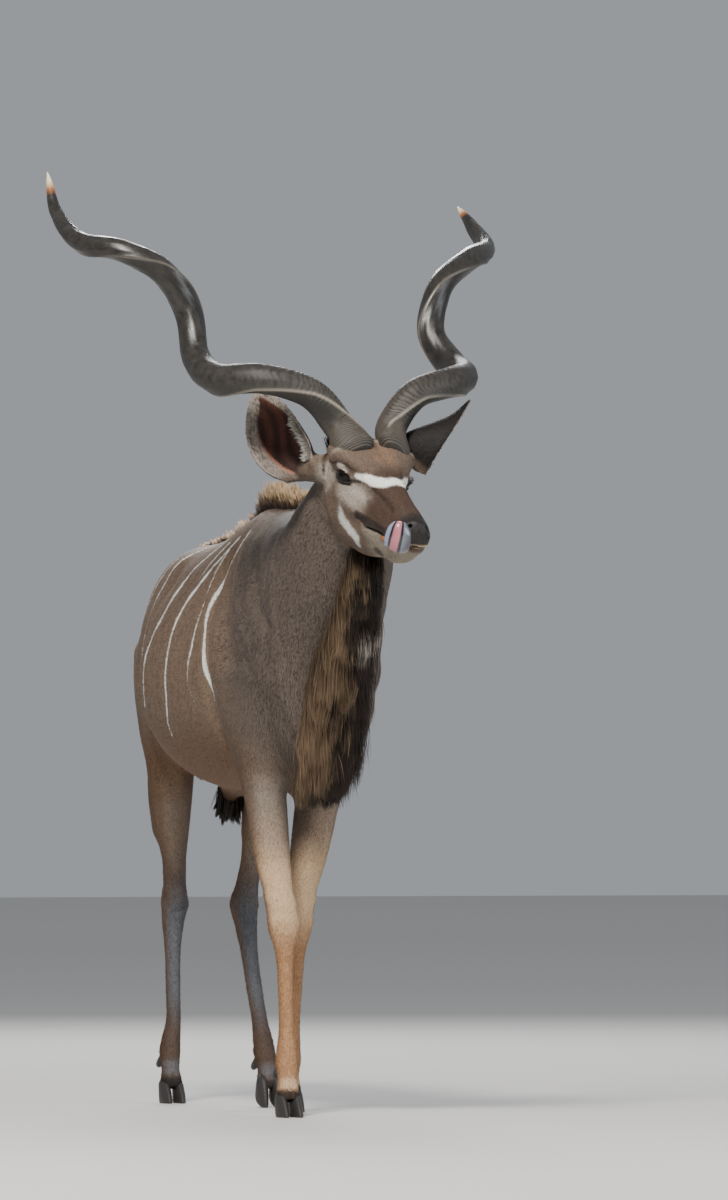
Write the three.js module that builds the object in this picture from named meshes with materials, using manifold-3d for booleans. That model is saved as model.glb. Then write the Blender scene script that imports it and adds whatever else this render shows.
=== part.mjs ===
// Greater kudu bull, life size, in mid walk with the head raised and turned a little to its left.
// The tongue is curled up over the upper lip. Millimetres, +Z up; the animal faces -Y, its left is +X.
import * as THREE from 'three';
import { mergeVertices } from 'three/addons/utils/BufferGeometryUtils.js';
import Module from 'manifold-3d';

const wasm = await Module();
wasm.setup();

// Driving dimensions.
const WITHERS = 1418;              // height of the back over the shoulders, coat included
const CROUP = 1340;                // height of the back over the hips
const BRISKET = 746;               // lowest line of the chest
const GAP = 0.4;                   // space between two pieces that meet
const ELBOW_CUT = 806;             // a foreleg's own pieces start below this level
const STIFLE_CUT = 812;            // a hindleg's own pieces start below this level
const CARPUS_CUT = 450;            // forearm above, cannon below
const HOCK_CUT = 452;              // gaskin and hock above, cannon below
const TUBE_SIDES = 10;             // tail, manes, fringe and other small pieces
const TRUNK_SIDES = 20;
const NECK_SIDES = 16;
const HEAD_SIDES = 18;
const LEG_SIDES = 10;
const HORN_SIDES = 8;
const HORN_RINGS = 28;
const EYE_RADIUS = 20.5;
const EYE_SPACING = 72;            // from the middle of the head to an eyeball's centre
const EYE_LEVEL = 11;
const EYE_FORWARD = 10;
const CLAW_SPREAD = 16;            // from the middle of a foot to a claw's centre

// The head's own frame: its origin lies between the eyes, +X is its left, -Y its nose, +Z its crown.
const HEAD_PLACE = new THREE.Vector3(9, -460, 1453);
const HEAD_YAW = 12;               // turned to the animal's left
const HEAD_PITCH = 29;             // nose below the level of the eyes
const HEAD_ROLL = 5;               // left side lower
const degrees = THREE.MathUtils.degToRad;
const headPose = new THREE.Matrix4()
  .makeRotationZ(degrees(HEAD_YAW))
  .multiply(new THREE.Matrix4().makeRotationX(degrees(HEAD_PITCH)))
  .multiply(new THREE.Matrix4().makeRotationY(degrees(HEAD_ROLL)))
  .setPosition(HEAD_PLACE);

const X_AXIS = new THREE.Vector3(1, 0, 0);
const Z_AXIS = new THREE.Vector3(0, 0, 1);

// Materials.
const finish = (color, roughness) => new THREE.MeshStandardMaterial({ color, roughness, metalness: 0 });
const coat = finish(0x6f6259, 0.85);
const legCoat = finish(0x9a7453, 0.85);
const maneHair = finish(0x4a3a2c, 0.9);
const hornKeratin = finish(0x3a3632, 0.35);
const hoofKeratin = finish(0x2b2a29, 0.5);
const eyeGloss = finish(0x0c0a09, 0.08);
const tongueSkin = finish(0xb07f88, 0.3);

// A closed surface over a row of rings with the same number of points, its faces turned outward.
function loft(rings) {
  const sides = rings[0].length;
  const positions = rings.flat().flatMap((p) => [p.x, p.y, p.z]);
  const capCentre = (ring) => ring.reduce((sum, p) => sum.add(p), new THREE.Vector3()).divideScalar(sides);
  const firstCap = rings.length * sides;
  const lastCap = firstCap + 1;
  for (const ring of [rings[0], rings[rings.length - 1]]) positions.push(...capCentre(ring).toArray());
  const faces = [];
  for (let i = 0; i < rings.length - 1; i += 1) {
    for (let j = 0; j < sides; j += 1) {
      const a = i * sides + j;
      const b = i * sides + ((j + 1) % sides);
      faces.push([a, b, b + sides], [a, b + sides, a + sides]);
    }
  }
  const lastRing = (rings.length - 1) * sides;
  for (let j = 0; j < sides; j += 1) {
    const next = (j + 1) % sides;
    faces.push([firstCap, next, j], [lastCap, lastRing + j, lastRing + next]);
  }
  return outward(positions, faces);
}

// The geometry of a closed surface, with every face turned round if the volume comes out negative.
function outward(positions, faces) {
  const at = (i) => new THREE.Vector3(...positions.slice(3 * i, 3 * i + 3));
  const volume = faces.reduce((sum, [a, b, c]) => sum + at(a).dot(at(b).cross(at(c))), 0);
  const turned = volume < 0 ? faces.map(([a, b, c]) => [a, c, b]) : faces;
  const geometry = new THREE.BufferGeometry();
  geometry.setAttribute('position', new THREE.Float32BufferAttribute(positions, 3));
  geometry.setIndex(turned.flat());
  return geometry;
}

// One ring: a rounded outline with its own half sizes up and down. Squareness 2 is an ellipse, and
// the crown is the squareness of the upper half.
function ring({ centre, side, up, half, above, below, squareness = 2, crown = squareness, sides }) {
  const bend = (value, power) => Math.sign(value) * Math.abs(value) ** power;
  return Array.from({ length: sides }, (_, i) => {
    const angle = (2 * Math.PI * i) / sides;
    const power = 2 / (Math.sin(angle) > 0 ? crown : squareness);
    const rise = bend(Math.sin(angle), power);
    return centre.clone()
      .addScaledVector(side, half * bend(Math.cos(angle), power))
      .addScaledVector(up, rise * (rise > 0 ? above : below));
  });
}

// Upright sections along Y, from stations of top, bottom, half width and the level of the widest point.
function uprightLoft(stations, sides, grow = 0, squareness = 2) {
  const section = ({ x = 0, y, top, bottom, half, level, square = squareness, crown = square }) => ring({
    centre: new THREE.Vector3(x, y, level),
    side: X_AXIS,
    up: Z_AXIS,
    half: half + grow,
    above: top - level + grow,
    below: level - bottom + grow,
    squareness: square,
    crown,
    sides,
  });
  return loft(stations.map(section));
}

// Sections square to a path of centres, each with a half size across and a half depth.
function pathLoft(stations, sides, grow = 0, squareness = 2, sideways = X_AXIS) {
  const centres = stations.map(([x, y, z]) => new THREE.Vector3(x, y, z));
  return loft(stations.map(([, , , across, depth], i) => {
    const before = centres[Math.max(i - 1, 0)];
    const after = centres[Math.min(i + 1, centres.length - 1)];
    const along = after.clone().sub(before).normalize();
    const side = sideways.clone().addScaledVector(along, -along.dot(sideways)).normalize();
    return ring({
      centre: centres[i],
      side,
      up: along.clone().cross(side).normalize(),
      half: across + grow,
      above: depth + grow,
      below: depth + grow,
      squareness,
      sides,
    });
  }));
}

// A closed geometry as a solid that can be joined and cut, and back again.
function solid(geometry) {
  const bare = geometry.clone();
  bare.deleteAttribute('normal');
  bare.deleteAttribute('uv');
  const merged = mergeVertices(bare, 1e-4);
  return new wasm.Manifold(new wasm.Mesh({
    numProp: 3,
    vertProperties: new Float32Array(merged.getAttribute('position').array),
    triVerts: new Uint32Array(merged.getIndex().array),
  }));
}

function geometryOf(body) {
  const { numProp, vertProperties, triVerts } = body.getMesh();
  const positions = [];
  for (let i = 0; i < vertProperties.length; i += numProp) {
    positions.push(vertProperties[i], vertProperties[i + 1], vertProperties[i + 2]);
  }
  const geometry = new THREE.BufferGeometry();
  geometry.setAttribute('position', new THREE.Float32BufferAttribute(positions, 3));
  geometry.setIndex(Array.from(triVerts));
  return geometry;
}

// Half spaces as big boxes, above or below a level.
const REACH = 4000;
function halfSpace(level, upward) {
  const box = new THREE.BoxGeometry(REACH, REACH, REACH);
  box.translate(0, 0, level + (upward ? REACH / 2 : -REACH / 2));
  return solid(box);
}
const above = (level) => halfSpace(level, true);
const below = (level) => halfSpace(level, false);

// A body less its neighbours; slivers that the cuts leave loose are dropped.
function cut(body, ...neighbours) {
  const left = neighbours.reduce((rest, neighbour) => rest.subtract(neighbour), body);
  return left.decompose().sort((a, b) => b.volume() - a.volume())[0];
}

const animal = new THREE.Group();
function add(name, body, material) {
  const geometry = geometryOf(body);
  geometry.computeVertexNormals();
  const mesh = new THREE.Mesh(geometry, material);
  mesh.name = name;
  animal.add(mesh);
}

// Trunk: sections from the front of the breast to the buttocks.
const trunkStations = [
  { y: -140, top: 1105, bottom: 945, half: 45, level: 1020 },
  { y: -118, top: 1180, bottom: 880, half: 92, level: 1030 },
  { y: -70, top: 1262, bottom: 826, half: 122, level: 1040 },
  { y: 0, top: 1330, bottom: 790, half: 143, level: 1040, crown: 2 },
  { y: 90, top: 1378, bottom: 764, half: 162, level: 1030, crown: 1.85 },
  { y: 190, top: 1406, bottom: 750, half: 182, level: 1015, crown: 1.75 },
  { y: 300, top: WITHERS, bottom: BRISKET, half: 200, level: 1005, crown: 1.7 },
  { y: 400, top: 1404, bottom: BRISKET, half: 212, level: 1000, crown: 1.7 },
  { y: 510, top: 1376, bottom: BRISKET, half: 221, level: 1000, crown: 1.75 },
  { y: 620, top: 1356, bottom: 749, half: 226, level: 1000, crown: 1.8 },
  { y: 720, top: 1346, bottom: 760, half: 225, level: 1008, crown: 1.85 },
  { y: 810, top: 1342, bottom: 780, half: 214, level: 1020, crown: 1.9 },
  { y: 890, top: CROUP, bottom: 812, half: 190, level: 1035, crown: 1.95 },
  { y: 970, top: CROUP - 3, bottom: 850, half: 171, level: 1045 },
  { y: 1040, top: 1328, bottom: 880, half: 156, level: 1050 },
  { y: 1110, top: 1304, bottom: 912, half: 137, level: 1060 },
  { y: 1170, top: 1266, bottom: 950, half: 110, level: 1075 },
  { y: 1212, top: 1214, bottom: 1000, half: 76, level: 1090 },
  { y: 1234, top: 1160, bottom: 1062, half: 34, level: 1110 },
];

// Legs: centre line from inside the shoulder or haunch to the coronet, half width, half depth.
const legStations = {
  foreleg_right: [
    [-108, 100, 1010, 58, 120], [-112, 112, 930, 59, 108], [-108, 118, 860, 56, 92],
    [-99, 108, 795, 53, 76], [-90, 96, 725, 50, 62], [-84, 86, 650, 47, 52], [-77, 76, 575, 43, 43],
    [-69, 67, 520, 38, 38], [-61, 61, 472, 38, 38], [-57, 58, 430, 38, 37], [-56, 55, 385, 26, 29],
    [-55, 50, 290, 20.5, 23.5], [-55, 43, 195, 21, 24], [-56, 36, 148, 27, 29],
    [-57, 31, 122, 29, 29], [-58, 20, 82, 25, 26], [-60, 10, 52, 29, 29], [-60, 8, 40, 28, 27],
  ],
  foreleg_left: [
    [104, 165, 1010, 58, 120], [104, 180, 930, 59, 108], [94, 190, 860, 57, 92],
    [78, 194, 795, 56, 76], [62, 200, 725, 53, 62], [52, 212, 650, 49, 52], [42, 224, 575, 44, 43],
    [34, 240, 515, 37, 37], [31, 250, 470, 36, 37], [31, 263, 428, 35, 35], [32, 280, 380, 25, 28],
    [34, 304, 290, 20.5, 23.5], [36, 333, 195, 21, 24], [36, 350, 148, 27, 29],
    [37, 356, 122, 29, 29], [38, 362, 82, 25, 26], [40, 368, 52, 29, 29], [40, 368, 40, 28, 27],
  ],
  hindleg_right: [
    [-88, 1010, 1080, 66, 172], [-99, 985, 980, 67, 162], [-103, 965, 890, 64, 138],
    [-99, 958, 815, 58, 104], [-90, 985, 740, 53, 78], [-78, 1022, 660, 44, 57],
    [-60, 1072, 580, 31, 42], [-46, 1120, 525, 29, 44], [-38, 1146, 478, 33, 52],
    [-41, 1150, 428, 28, 38], [-44, 1142, 380, 22.5, 30], [-48, 1124, 280, 20, 26],
    [-52, 1108, 190, 21, 26], [-60, 1100, 148, 26, 30], [-63, 1094, 120, 27.5, 30],
    [-65, 1080, 82, 24, 26], [-66, 1068, 52, 28, 29], [-66, 1066, 40, 27, 27],
  ],
  hindleg_left: [
    [88, 1000, 1080, 66, 168], [102, 950, 990, 69, 160], [112, 885, 900, 68, 140],
    [110, 835, 825, 62, 108], [104, 828, 750, 54, 76], [95, 852, 670, 44, 54],
    [87, 890, 590, 31, 40], [82, 924, 525, 30, 46], [80, 940, 478, 34, 55],
    [82, 926, 425, 28, 38], [82, 902, 370, 23, 31], [82, 852, 280, 21.5, 26],
    [84, 804, 195, 22, 27], [85, 778, 150, 27, 30], [85, 762, 122, 28, 30],
    [83, 735, 88, 24.5, 26], [80, 715, 62, 28, 28], [79, 708, 52, 26, 26],
  ],
};
const isFore = (leg) => leg.startsWith('fore');
const rootCut = (leg) => (isFore(leg) ? ELBOW_CUT : STIFLE_CUT);
const limb = (leg, grow = 0) => solid(pathLoft(legStations[leg], LEG_SIDES, grow, 2.1));

function trunkBody(grow = 0) {
  const barrel = solid(uprightLoft(trunkStations, TRUNK_SIDES, grow, 2.12));
  return Object.keys(legStations).reduce(
    (body, leg) => body.add(limb(leg, grow).intersect(above(rootCut(leg) - grow))),
    barrel,
  );
}
const trunkSpace = trunkBody(GAP);
add('trunk', trunkBody(), coat);

// Head: sections along its own Y, nose first.
const headStations = [
  { y: -268, top: 0, bottom: -30, half: 18, level: -20 },
  { y: -262, top: 17, bottom: -36, half: 33, level: -22, square: 2.3 },
  { y: -250, top: 27, bottom: -54, half: 40, level: -24, square: 2.2 },
  { y: -236, top: 32, bottom: -81, half: 45, level: -26, square: 2.1 },
  { y: -218, top: 34, bottom: -98, half: 46, level: -28, square: 2.2 },
  { y: -192, top: 36, bottom: -105, half: 45, level: -34, square: 2.3 },
  { y: -160, top: 40, bottom: -115, half: 46, level: -36, square: 2.3 },
  { y: -120, top: 47, bottom: -134, half: 51, level: -36, square: 2.2 },
  { y: -80, top: 56, bottom: -149, half: 60, level: -30, square: 2.1 },
  { y: -45, top: 64, bottom: -155, half: 73, level: -16, square: 2.1 },
  { y: -14, top: 73, bottom: -156, half: 88, level: 0, square: 2.15 },
  { y: 14, top: 80, bottom: -150, half: 90, level: 4, square: 2.15 },
  { y: 45, top: 82, bottom: -134, half: 84, level: 0, square: 2.15 },
  { y: 78, top: 74, bottom: -112, half: 75, level: -8, square: 2.1 },
  { y: 112, top: 58, bottom: -88, half: 62, level: -12 },
  { y: 145, top: 20, bottom: -50, half: 30, level: -14 },
];
const MOUTH = { back: -75, front: -300, backLevel: -46, frontLevel: -31, open: 2 };
const inHead = (geometry) => solid(geometry.applyMatrix4(headPose));
const eyePlace = (side) => new THREE.Vector3(side * EYE_SPACING, -EYE_FORWARD, EYE_LEVEL);
function eyeball(side, grow = 0) {
  const ball = new THREE.SphereGeometry(EYE_RADIUS + grow, 10, 7);
  ball.translate(...eyePlace(side).toArray());
  return inHead(ball);
}

// Horns: open spirals of nearly two turns, up, out and back from the brow, in the head's frame.
// Both lines are given as on the left side; the right one is mirrored.
const hornLine = {
  left: [
    [46, 24, 72], [72, 104, 90], [134, 154, 152], [240, 202, 170], [324, 286, 152],
    [344, 384, 138], [322, 476, 172], [354, 550, 256], [448, 616, 304], [532, 702, 298],
    [548, 814, 302], [544, 896, 312],
  ],
  right: [
    [58, 22, 64], [72, 100, 86], [142, 140, 136], [250, 182, 138], [310, 266, 90],
    [310, 380, 84], [314, 470, 154], [382, 522, 224], [474, 574, 242], [532, 666, 214],
    [542, 792, 226], [544, 884, 282],
  ],
};
const hornCurve = Object.fromEntries(Object.entries(hornLine).map(([side, stations]) => {
  const mirror = side === 'right' ? -1 : 1;
  const points = stations.map(([x, y, z]) => new THREE.Vector3(mirror * x, y, z));
  return [side, new THREE.CatmullRomCurve3(points, false, 'catmullrom', 0.5)];
}));
// Half thickness along the horn, from its base at 0 to its tip at 1.
const hornThickness = [
  [0, 43], [0.05, 37.5], [0.15, 36], [0.3, 35.5], [0.45, 34], [0.6, 31], [0.7, 28.5],
  [0.8, 24], [0.88, 18], [0.94, 12.5], [0.975, 8], [1, 2.5],
];
function along(table, t) {
  const last = table.findIndex(([at]) => at >= t);
  if (last <= 0) return table[0][1];
  const [t0, v0] = table[last - 1];
  const [t1, v1] = table[last];
  return THREE.MathUtils.mapLinear(t, t0, t1, v0, v1);
}
const HORN_KEEL = 0.16;            // how far the keel stands out, as a share of the thickness
const BASE_OVAL = 0.24;            // the base is longer than it is wide by this share either way
const OVAL_END = 0.08;             // the horn is round from here on
// The long way of each oval base, from its outer back to its inner front.
const hornFront = { left: new THREE.Vector3(-0.5, -0.87, 0), right: new THREE.Vector3(0.5, -0.87, 0) };
function hornRings(side, count, grow) {
  const curve = hornCurve[side];
  let across = hornFront[side];
  return Array.from({ length: count }, (_, i) => {
    const t = i / HORN_RINGS;
    const onward = curve.getTangent(t);
    across = across.clone().addScaledVector(onward, -across.dot(onward)).normalize();
    const other = onward.clone().cross(across);
    const thickness = along(hornThickness, t);
    const oval = BASE_OVAL * Math.max(1 - t / OVAL_END, 0);
    return Array.from({ length: HORN_SIDES }, (_, j) => {
      const angle = (2 * Math.PI * j) / HORN_SIDES;
      const keel = 1 + HORN_KEEL * (Math.max(Math.cos(angle), 0) ** 4 - 0.3);
      return curve.getPoint(t)
        .addScaledVector(across, (thickness * keel * (1 + oval) + grow) * Math.cos(angle))
        .addScaledVector(other, (thickness * keel * (1 - oval) + grow) * Math.sin(angle));
    });
  });
}
const horn = (side, grow = 0) => inHead(loft(hornRings(side, HORN_RINGS + 1, grow)));
// The bony stump under a horn belongs to the head.
const PEDICLE_DROP = new THREE.Vector3(0, 2, -34);
const PEDICLE_FLARE = 3;
function pedicle(side, grow = 0) {
  const lift = PEDICLE_DROP.clone().setLength(-grow);
  const rim = hornRings(side, 1, PEDICLE_FLARE + grow)[0].map((p) => p.add(lift));
  const shoulder = rim.map((p) => p.clone().addScaledVector(PEDICLE_DROP, 0.3));
  const foot = rim.map((p) => p.clone().add(PEDICLE_DROP));
  return inHead(loft([rim, shoulder, foot]));
}

// Ears: a stalk that opens into a cupped leaf; `open` is the way the cup faces.
const earShape = {
  right: {
    stalk: [-74, 92, -24], root: [-118, 108, -50], tip: [-191, 283, 65],
    open: [-0.77, -0.55, 0.32], half: 64, cup: 70, bow: -14,
  },
  left: {
    stalk: [74, 84, 8], root: [155, 80, 4], tip: [249, 110, 173],
    open: [0.81, -0.47, -0.36], half: 58, cup: 104, bow: 0,
  },
};
const EAR_STEPS = 8;
const EAR_COLUMNS = 6;
const EAR_THICKNESS = 5;
const STALK_WIDTH = 0.36;          // as a share of the ear's half width and of its cup
// Half width along the ear, as a share of the widest, from its root at 0 to its tip at 1.
const earWidth = [
  [0, 0.55], [0.12, 0.82], [0.3, 1], [0.48, 1], [0.65, 0.89], [0.8, 0.66], [0.92, 0.38], [1, 0.07],
];
const earDepth = (t) => (1 - t) ** 1.4;
function ear(side) {
  const { stalk, root, tip, open, half, cup, bow } = earShape[side];
  const from = new THREE.Vector3(...root);
  const line = new THREE.Vector3(...tip).sub(from);
  const face = new THREE.Vector3(...open);
  face.addScaledVector(line, -face.dot(line) / line.lengthSq()).normalize();
  const across = line.clone().normalize().cross(face);
  const leafRing = (middle, width, depth) => {
    const row = (thickness) => Array.from({ length: EAR_COLUMNS + 1 }, (_, j) => {
      const s = (2 * j) / EAR_COLUMNS - 1;
      return middle.clone()
        .addScaledVector(across, width * s)
        .addScaledVector(face, depth * (s * s - 1) - thickness);
    });
    return [...row(0), ...row(EAR_THICKNESS).reverse()];
  };
  const rings = [leafRing(new THREE.Vector3(...stalk), half * STALK_WIDTH, cup * STALK_WIDTH)];
  for (let i = 0; i <= EAR_STEPS; i += 1) {
    const t = i / EAR_STEPS;
    const share = along(earWidth, t);
    const middle = from.clone()
      .addScaledVector(line, t)
      .addScaledVector(across, bow * Math.sin(Math.PI * t));
    rings.push(leafRing(middle, half * share, cup * share * earDepth(t)));
  }
  return inHead(loft(rings));
}

// Tongue: out of the right side of the mouth, curled up over the lip to the right nostril.
const tongueStations = [
  [-14, -196, -38, 18, 5], [-25, -222, -43, 22, 6], [-36, -246, -48, 25, 6], [-42, -258, -40, 26, 6.5],
  [-46, -260, -24, 26, 6.5], [-47, -257, -8, 24, 6], [-46, -250, 5, 18, 5.5], [-43, -243, 14, 9, 4],
];
const TONGUE_SIDEWAYS = new THREE.Vector3(0.82, -0.57, 0);
const tongue = (grow = 0) => inHead(pathLoft(tongueStations, TUBE_SIDES, grow, 2, TONGUE_SIDEWAYS));

// The mouth: a thin wedge that opens from its corner to the front of the lips.
function mouthSlit() {
  const { back, front, backLevel, frontLevel, open } = MOUTH;
  const outline = new THREE.Shape([
    new THREE.Vector2(back, backLevel),
    new THREE.Vector2(front, frontLevel + open),
    new THREE.Vector2(front, frontLevel - open),
  ]);
  const wedge = new THREE.ExtrudeGeometry(outline, { depth: 240, bevelEnabled: false });
  wedge.translate(0, 0, -120);
  const turn = new THREE.Matrix4().makeBasis(new THREE.Vector3(0, 1, 0), Z_AXIS, X_AXIS);
  return inHead(wedge.applyMatrix4(turn));
}

// Neck: thick in a bull, from inside the shoulders to the back of the head.
const neckStations = [
  [0, 100, 1150, 140, 235], [0, -75, 1222, 134, 208], [1, -175, 1262, 134, 166], [2, -255, 1325, 124, 138],
  [3, -318, 1382, 106, 117], [3, -358, 1434, 88, 102], [2, -388, 1470, 70, 84],
];
const neckWhole = (grow = 0) => solid(pathLoft(neckStations, NECK_SIDES, grow, 2.05));
const neckSpace = neckWhole(GAP);

const headWhole = (grow = 0) => (
  inHead(uprightLoft(headStations, HEAD_SIDES, grow, 2))
    .add(pedicle('left', grow))
    .add(pedicle('right', grow))
);
const headSpace = headWhole(GAP);
add('head', cut(headWhole(), eyeball(-1, GAP), eyeball(1, GAP), mouthSlit(), tongue(GAP)), coat);
add('tongue', tongue(), tongueSkin);
add('neck', cut(neckWhole(), trunkSpace, headSpace), coat);
for (const [side, sign] of [['right', -1], ['left', 1]]) {
  add(`eye_${side}`, eyeball(sign), eyeGloss);
  add(`horn_${side}`, cut(horn(side), headSpace), hornKeratin);
  add(`ear_${side}`, cut(ear(side), headSpace, neckSpace, horn(side, GAP)), coat);
}

// Feet: two claws each, and two dewclaws behind the fetlock.
const feet = {
  fore_right: { place: [-60, 0, 0], pitch: 0, fetlock: [-57, 31, 122] },
  fore_left: { place: [40, 360, 0], pitch: 0, fetlock: [37, 356, 122] },
  hind_right: { place: [-66, 1060, 0], pitch: 0, fetlock: [-63, 1094, 120] },
  hind_left: { place: [78, 706, 14], pitch: 24, fetlock: [85, 762, 122] },
};
// Level above the sole, middle, half length and half width of one claw.
const clawStations = [
  { z: 0, middle: -8, length: 38, width: 14 },
  { z: 10, middle: -5, length: 38, width: 15 },
  { z: 30, middle: 3, length: 32, width: 14.5 },
  { z: 50, middle: 12, length: 22, width: 12 },
];
const CLAW_SIDES = 8;
function claw(foot, side, grow = 0) {
  const { place, pitch } = feet[foot];
  const rings = clawStations.map(({ z, middle, length, width }) => (
    Array.from({ length: CLAW_SIDES }, (_, i) => {
      const angle = (2 * Math.PI * i) / CLAW_SIDES;
      const forward = Math.cos(angle);
      const narrow = 1 - 0.3 * Math.max(forward, 0);
      return new THREE.Vector3(
        side * CLAW_SPREAD + (width + grow) * narrow * Math.sin(angle),
        middle - (length + grow) * forward,
        z + (z > 40 ? grow : 0),
      );
    })
  ));
  const geometry = loft(rings);
  geometry.rotateX(degrees(pitch));
  geometry.translate(...place);
  return solid(geometry).intersect(above(0));
}
// A dewclaw's centre line from the fetlock's middle, with its thickness; x is to the outer side.
const dewclawStations = [
  [14, 20, -14, 9], [16, 37, -28, 9], [17, 44, -34, 4],
];
const DEWCLAW_SIDES = 6;
function dewclaw(foot, side) {
  const [x, y, z] = feet[foot].fetlock;
  return solid(pathLoft(dewclawStations.map(([out, back, up, size]) => (
    [x + side * out, y + back, z + up, size, size]
  )), DEWCLAW_SIDES));
}

for (const leg of Object.keys(legStations)) {
  const foot = leg.replace('leg', '');
  const middleCut = isFore(leg) ? CARPUS_CUT : HOCK_CUT;
  const claws = [-1, 1].map((side) => claw(foot, side, GAP));
  const whole = cut(limb(leg).intersect(below(rootCut(leg) - GAP)), trunkSpace);
  const upperName = isFore(leg) ? 'forearm' : 'gaskin';
  add(`${leg}_${upperName}`, whole.intersect(above(middleCut)), legCoat);
  add(`${leg}_cannon`, cut(whole.intersect(below(middleCut - GAP)), ...claws), legCoat);
  const awaySide = Math.sign(feet[foot].place[0]);
  for (const [name, side] of [['inner', -awaySide], ['outer', awaySide]]) {
    add(`hoof_${foot}_${name}`, claw(foot, side), hoofKeratin);
    add(`dewclaw_${foot}_${name}`, cut(dewclaw(foot, side), limb(leg, GAP)), hoofKeratin);
  }
}

// Tail: hangs against the buttocks, with a brush at its end.
const tailStations = [
  [0, 1180, 1262, 26, 20], [0, 1222, 1245, 27, 19], [0, 1252, 1200, 25, 16], [0, 1266, 1130, 25, 14],
  [0, 1270, 1050, 26, 14], [0, 1268, 970, 25, 14], [0, 1264, 915, 24, 14],
];
const tailTuftStations = [
  [0, 1265, 925, 25, 15], [0, 1262, 890, 30, 19], [0, 1258, 840, 29, 19], [0, 1254, 790, 20, 13],
  [0, 1251, 762, 7, 5],
];
const tailTuft = (grow = 0) => solid(pathLoft(tailTuftStations, TUBE_SIDES, grow));
add('tail', cut(solid(pathLoft(tailStations, TUBE_SIDES)), trunkSpace, tailTuft(GAP)), coat);
add('tail_tuft', tailTuft(), maneHair);

// Mane: a standing ridge on the nape and withers, then a low crest along the back.
const maneStations = [
  { y: -235, top: 1476, bottom: 1430, half: 16, level: 1445 },
  { y: -150, top: 1458, bottom: 1370, half: 24, level: 1400 },
  { y: -60, top: 1438, bottom: 1345, half: 28, level: 1380 },
  { y: 40, top: 1432, bottom: 1340, half: 32, level: 1375 },
  { y: 150, top: 1448, bottom: 1350, half: 36, level: 1385 },
  { y: 260, top: 1468, bottom: 1370, half: 38, level: 1400 },
  { y: 350, top: 1464, bottom: 1370, half: 35, level: 1398 },
  { y: 425, top: 1428, bottom: 1362, half: 27, level: 1388 },
  { y: 470, top: 1408, bottom: 1356, half: 18, level: 1376 },
];
const crestStations = [
  { y: 475, top: 1408, bottom: 1350, half: 20, level: 1374 },
  { y: 560, top: 1388, bottom: 1335, half: 18, level: 1354 },
  { y: 680, top: 1374, bottom: 1325, half: 17, level: 1340 },
  { y: 820, top: 1362, bottom: 1315, half: 15, level: 1330 },
  { y: 960, top: 1354, bottom: 1310, half: 13, level: 1326 },
  { y: 1060, top: 1334, bottom: 1295, half: 10, level: 1310 },
];
const fin = (stations, grow = 0) => solid(uprightLoft(stations, TUBE_SIDES, grow));
add('nape_mane', cut(fin(maneStations), trunkSpace, neckSpace, headSpace), maneHair);
add('spine_crest', cut(fin(crestStations), trunkSpace, fin(maneStations, GAP)), maneHair);

// Throat fringe: hangs from the throat to the breast, deepest and widest low down.
const fringeStations = [
  [18, -366, 1318, 28, 32], [24, -362, 1250, 40, 56], [24, -338, 1180, 52, 68], [14, -300, 1100, 58, 80],
  [8, -250, 1010, 70, 98], [9, -204, 920, 78, 106], [10, -165, 830, 74, 92], [6, -132, 750, 54, 64],
  [3, -122, 700, 20, 24],
];
const FRINGE_LEAN = 0.2;           // each section is set back by this share of its depth
function fringe() {
  const rings = fringeStations.map(([x, y, z, across, depth]) => ring({
    centre: new THREE.Vector3(x, y + depth * FRINGE_LEAN, z),
    side: X_AXIS,
    up: new THREE.Vector3(0, 1, 0),
    half: across,
    above: depth,
    below: depth,
    sides: TUBE_SIDES,
  }));
  return solid(loft(rings));
}
add('throat_fringe', cut(fringe(), neckSpace, trunkSpace, headSpace), maneHair);

// Sheath under the belly with its dark tuft, and the scrotum between the thighs.
const sheathStations = [
  [0, 720, 770, 26, 40], [0, 770, 742, 28, 38], [-2, 800, 712, 22, 30], [-2, 812, 680, 8, 12],
];
const scrotumStations = [
  [0, 1020, 905, 30, 34], [0, 1030, 860, 36, 38], [0, 1034, 815, 38, 38], [0, 1034, 778, 24, 24],
];
const ownSpace = Object.keys(legStations).reduce((body, leg) => body.add(limb(leg, GAP)), trunkSpace);
add('sheath_tuft', cut(solid(pathLoft(sheathStations, TUBE_SIDES)), ownSpace), maneHair);
add('scrotum', cut(solid(pathLoft(scrotumStations, TUBE_SIDES)), ownSpace), coat);

// The origin lies on the floor, under the middle of the whole animal's box.
const box = new THREE.Box3().setFromObject(animal);
animal.position.set(-(box.min.x + box.max.x) / 2, -(box.min.y + box.max.y) / 2, -box.min.z);
const kudu = new THREE.Group();
kudu.add(animal);

export default kudu;
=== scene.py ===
import bmesh
import bpy
import numpy as np
import openvdb
from mathutils import Matrix, Vector


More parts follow.
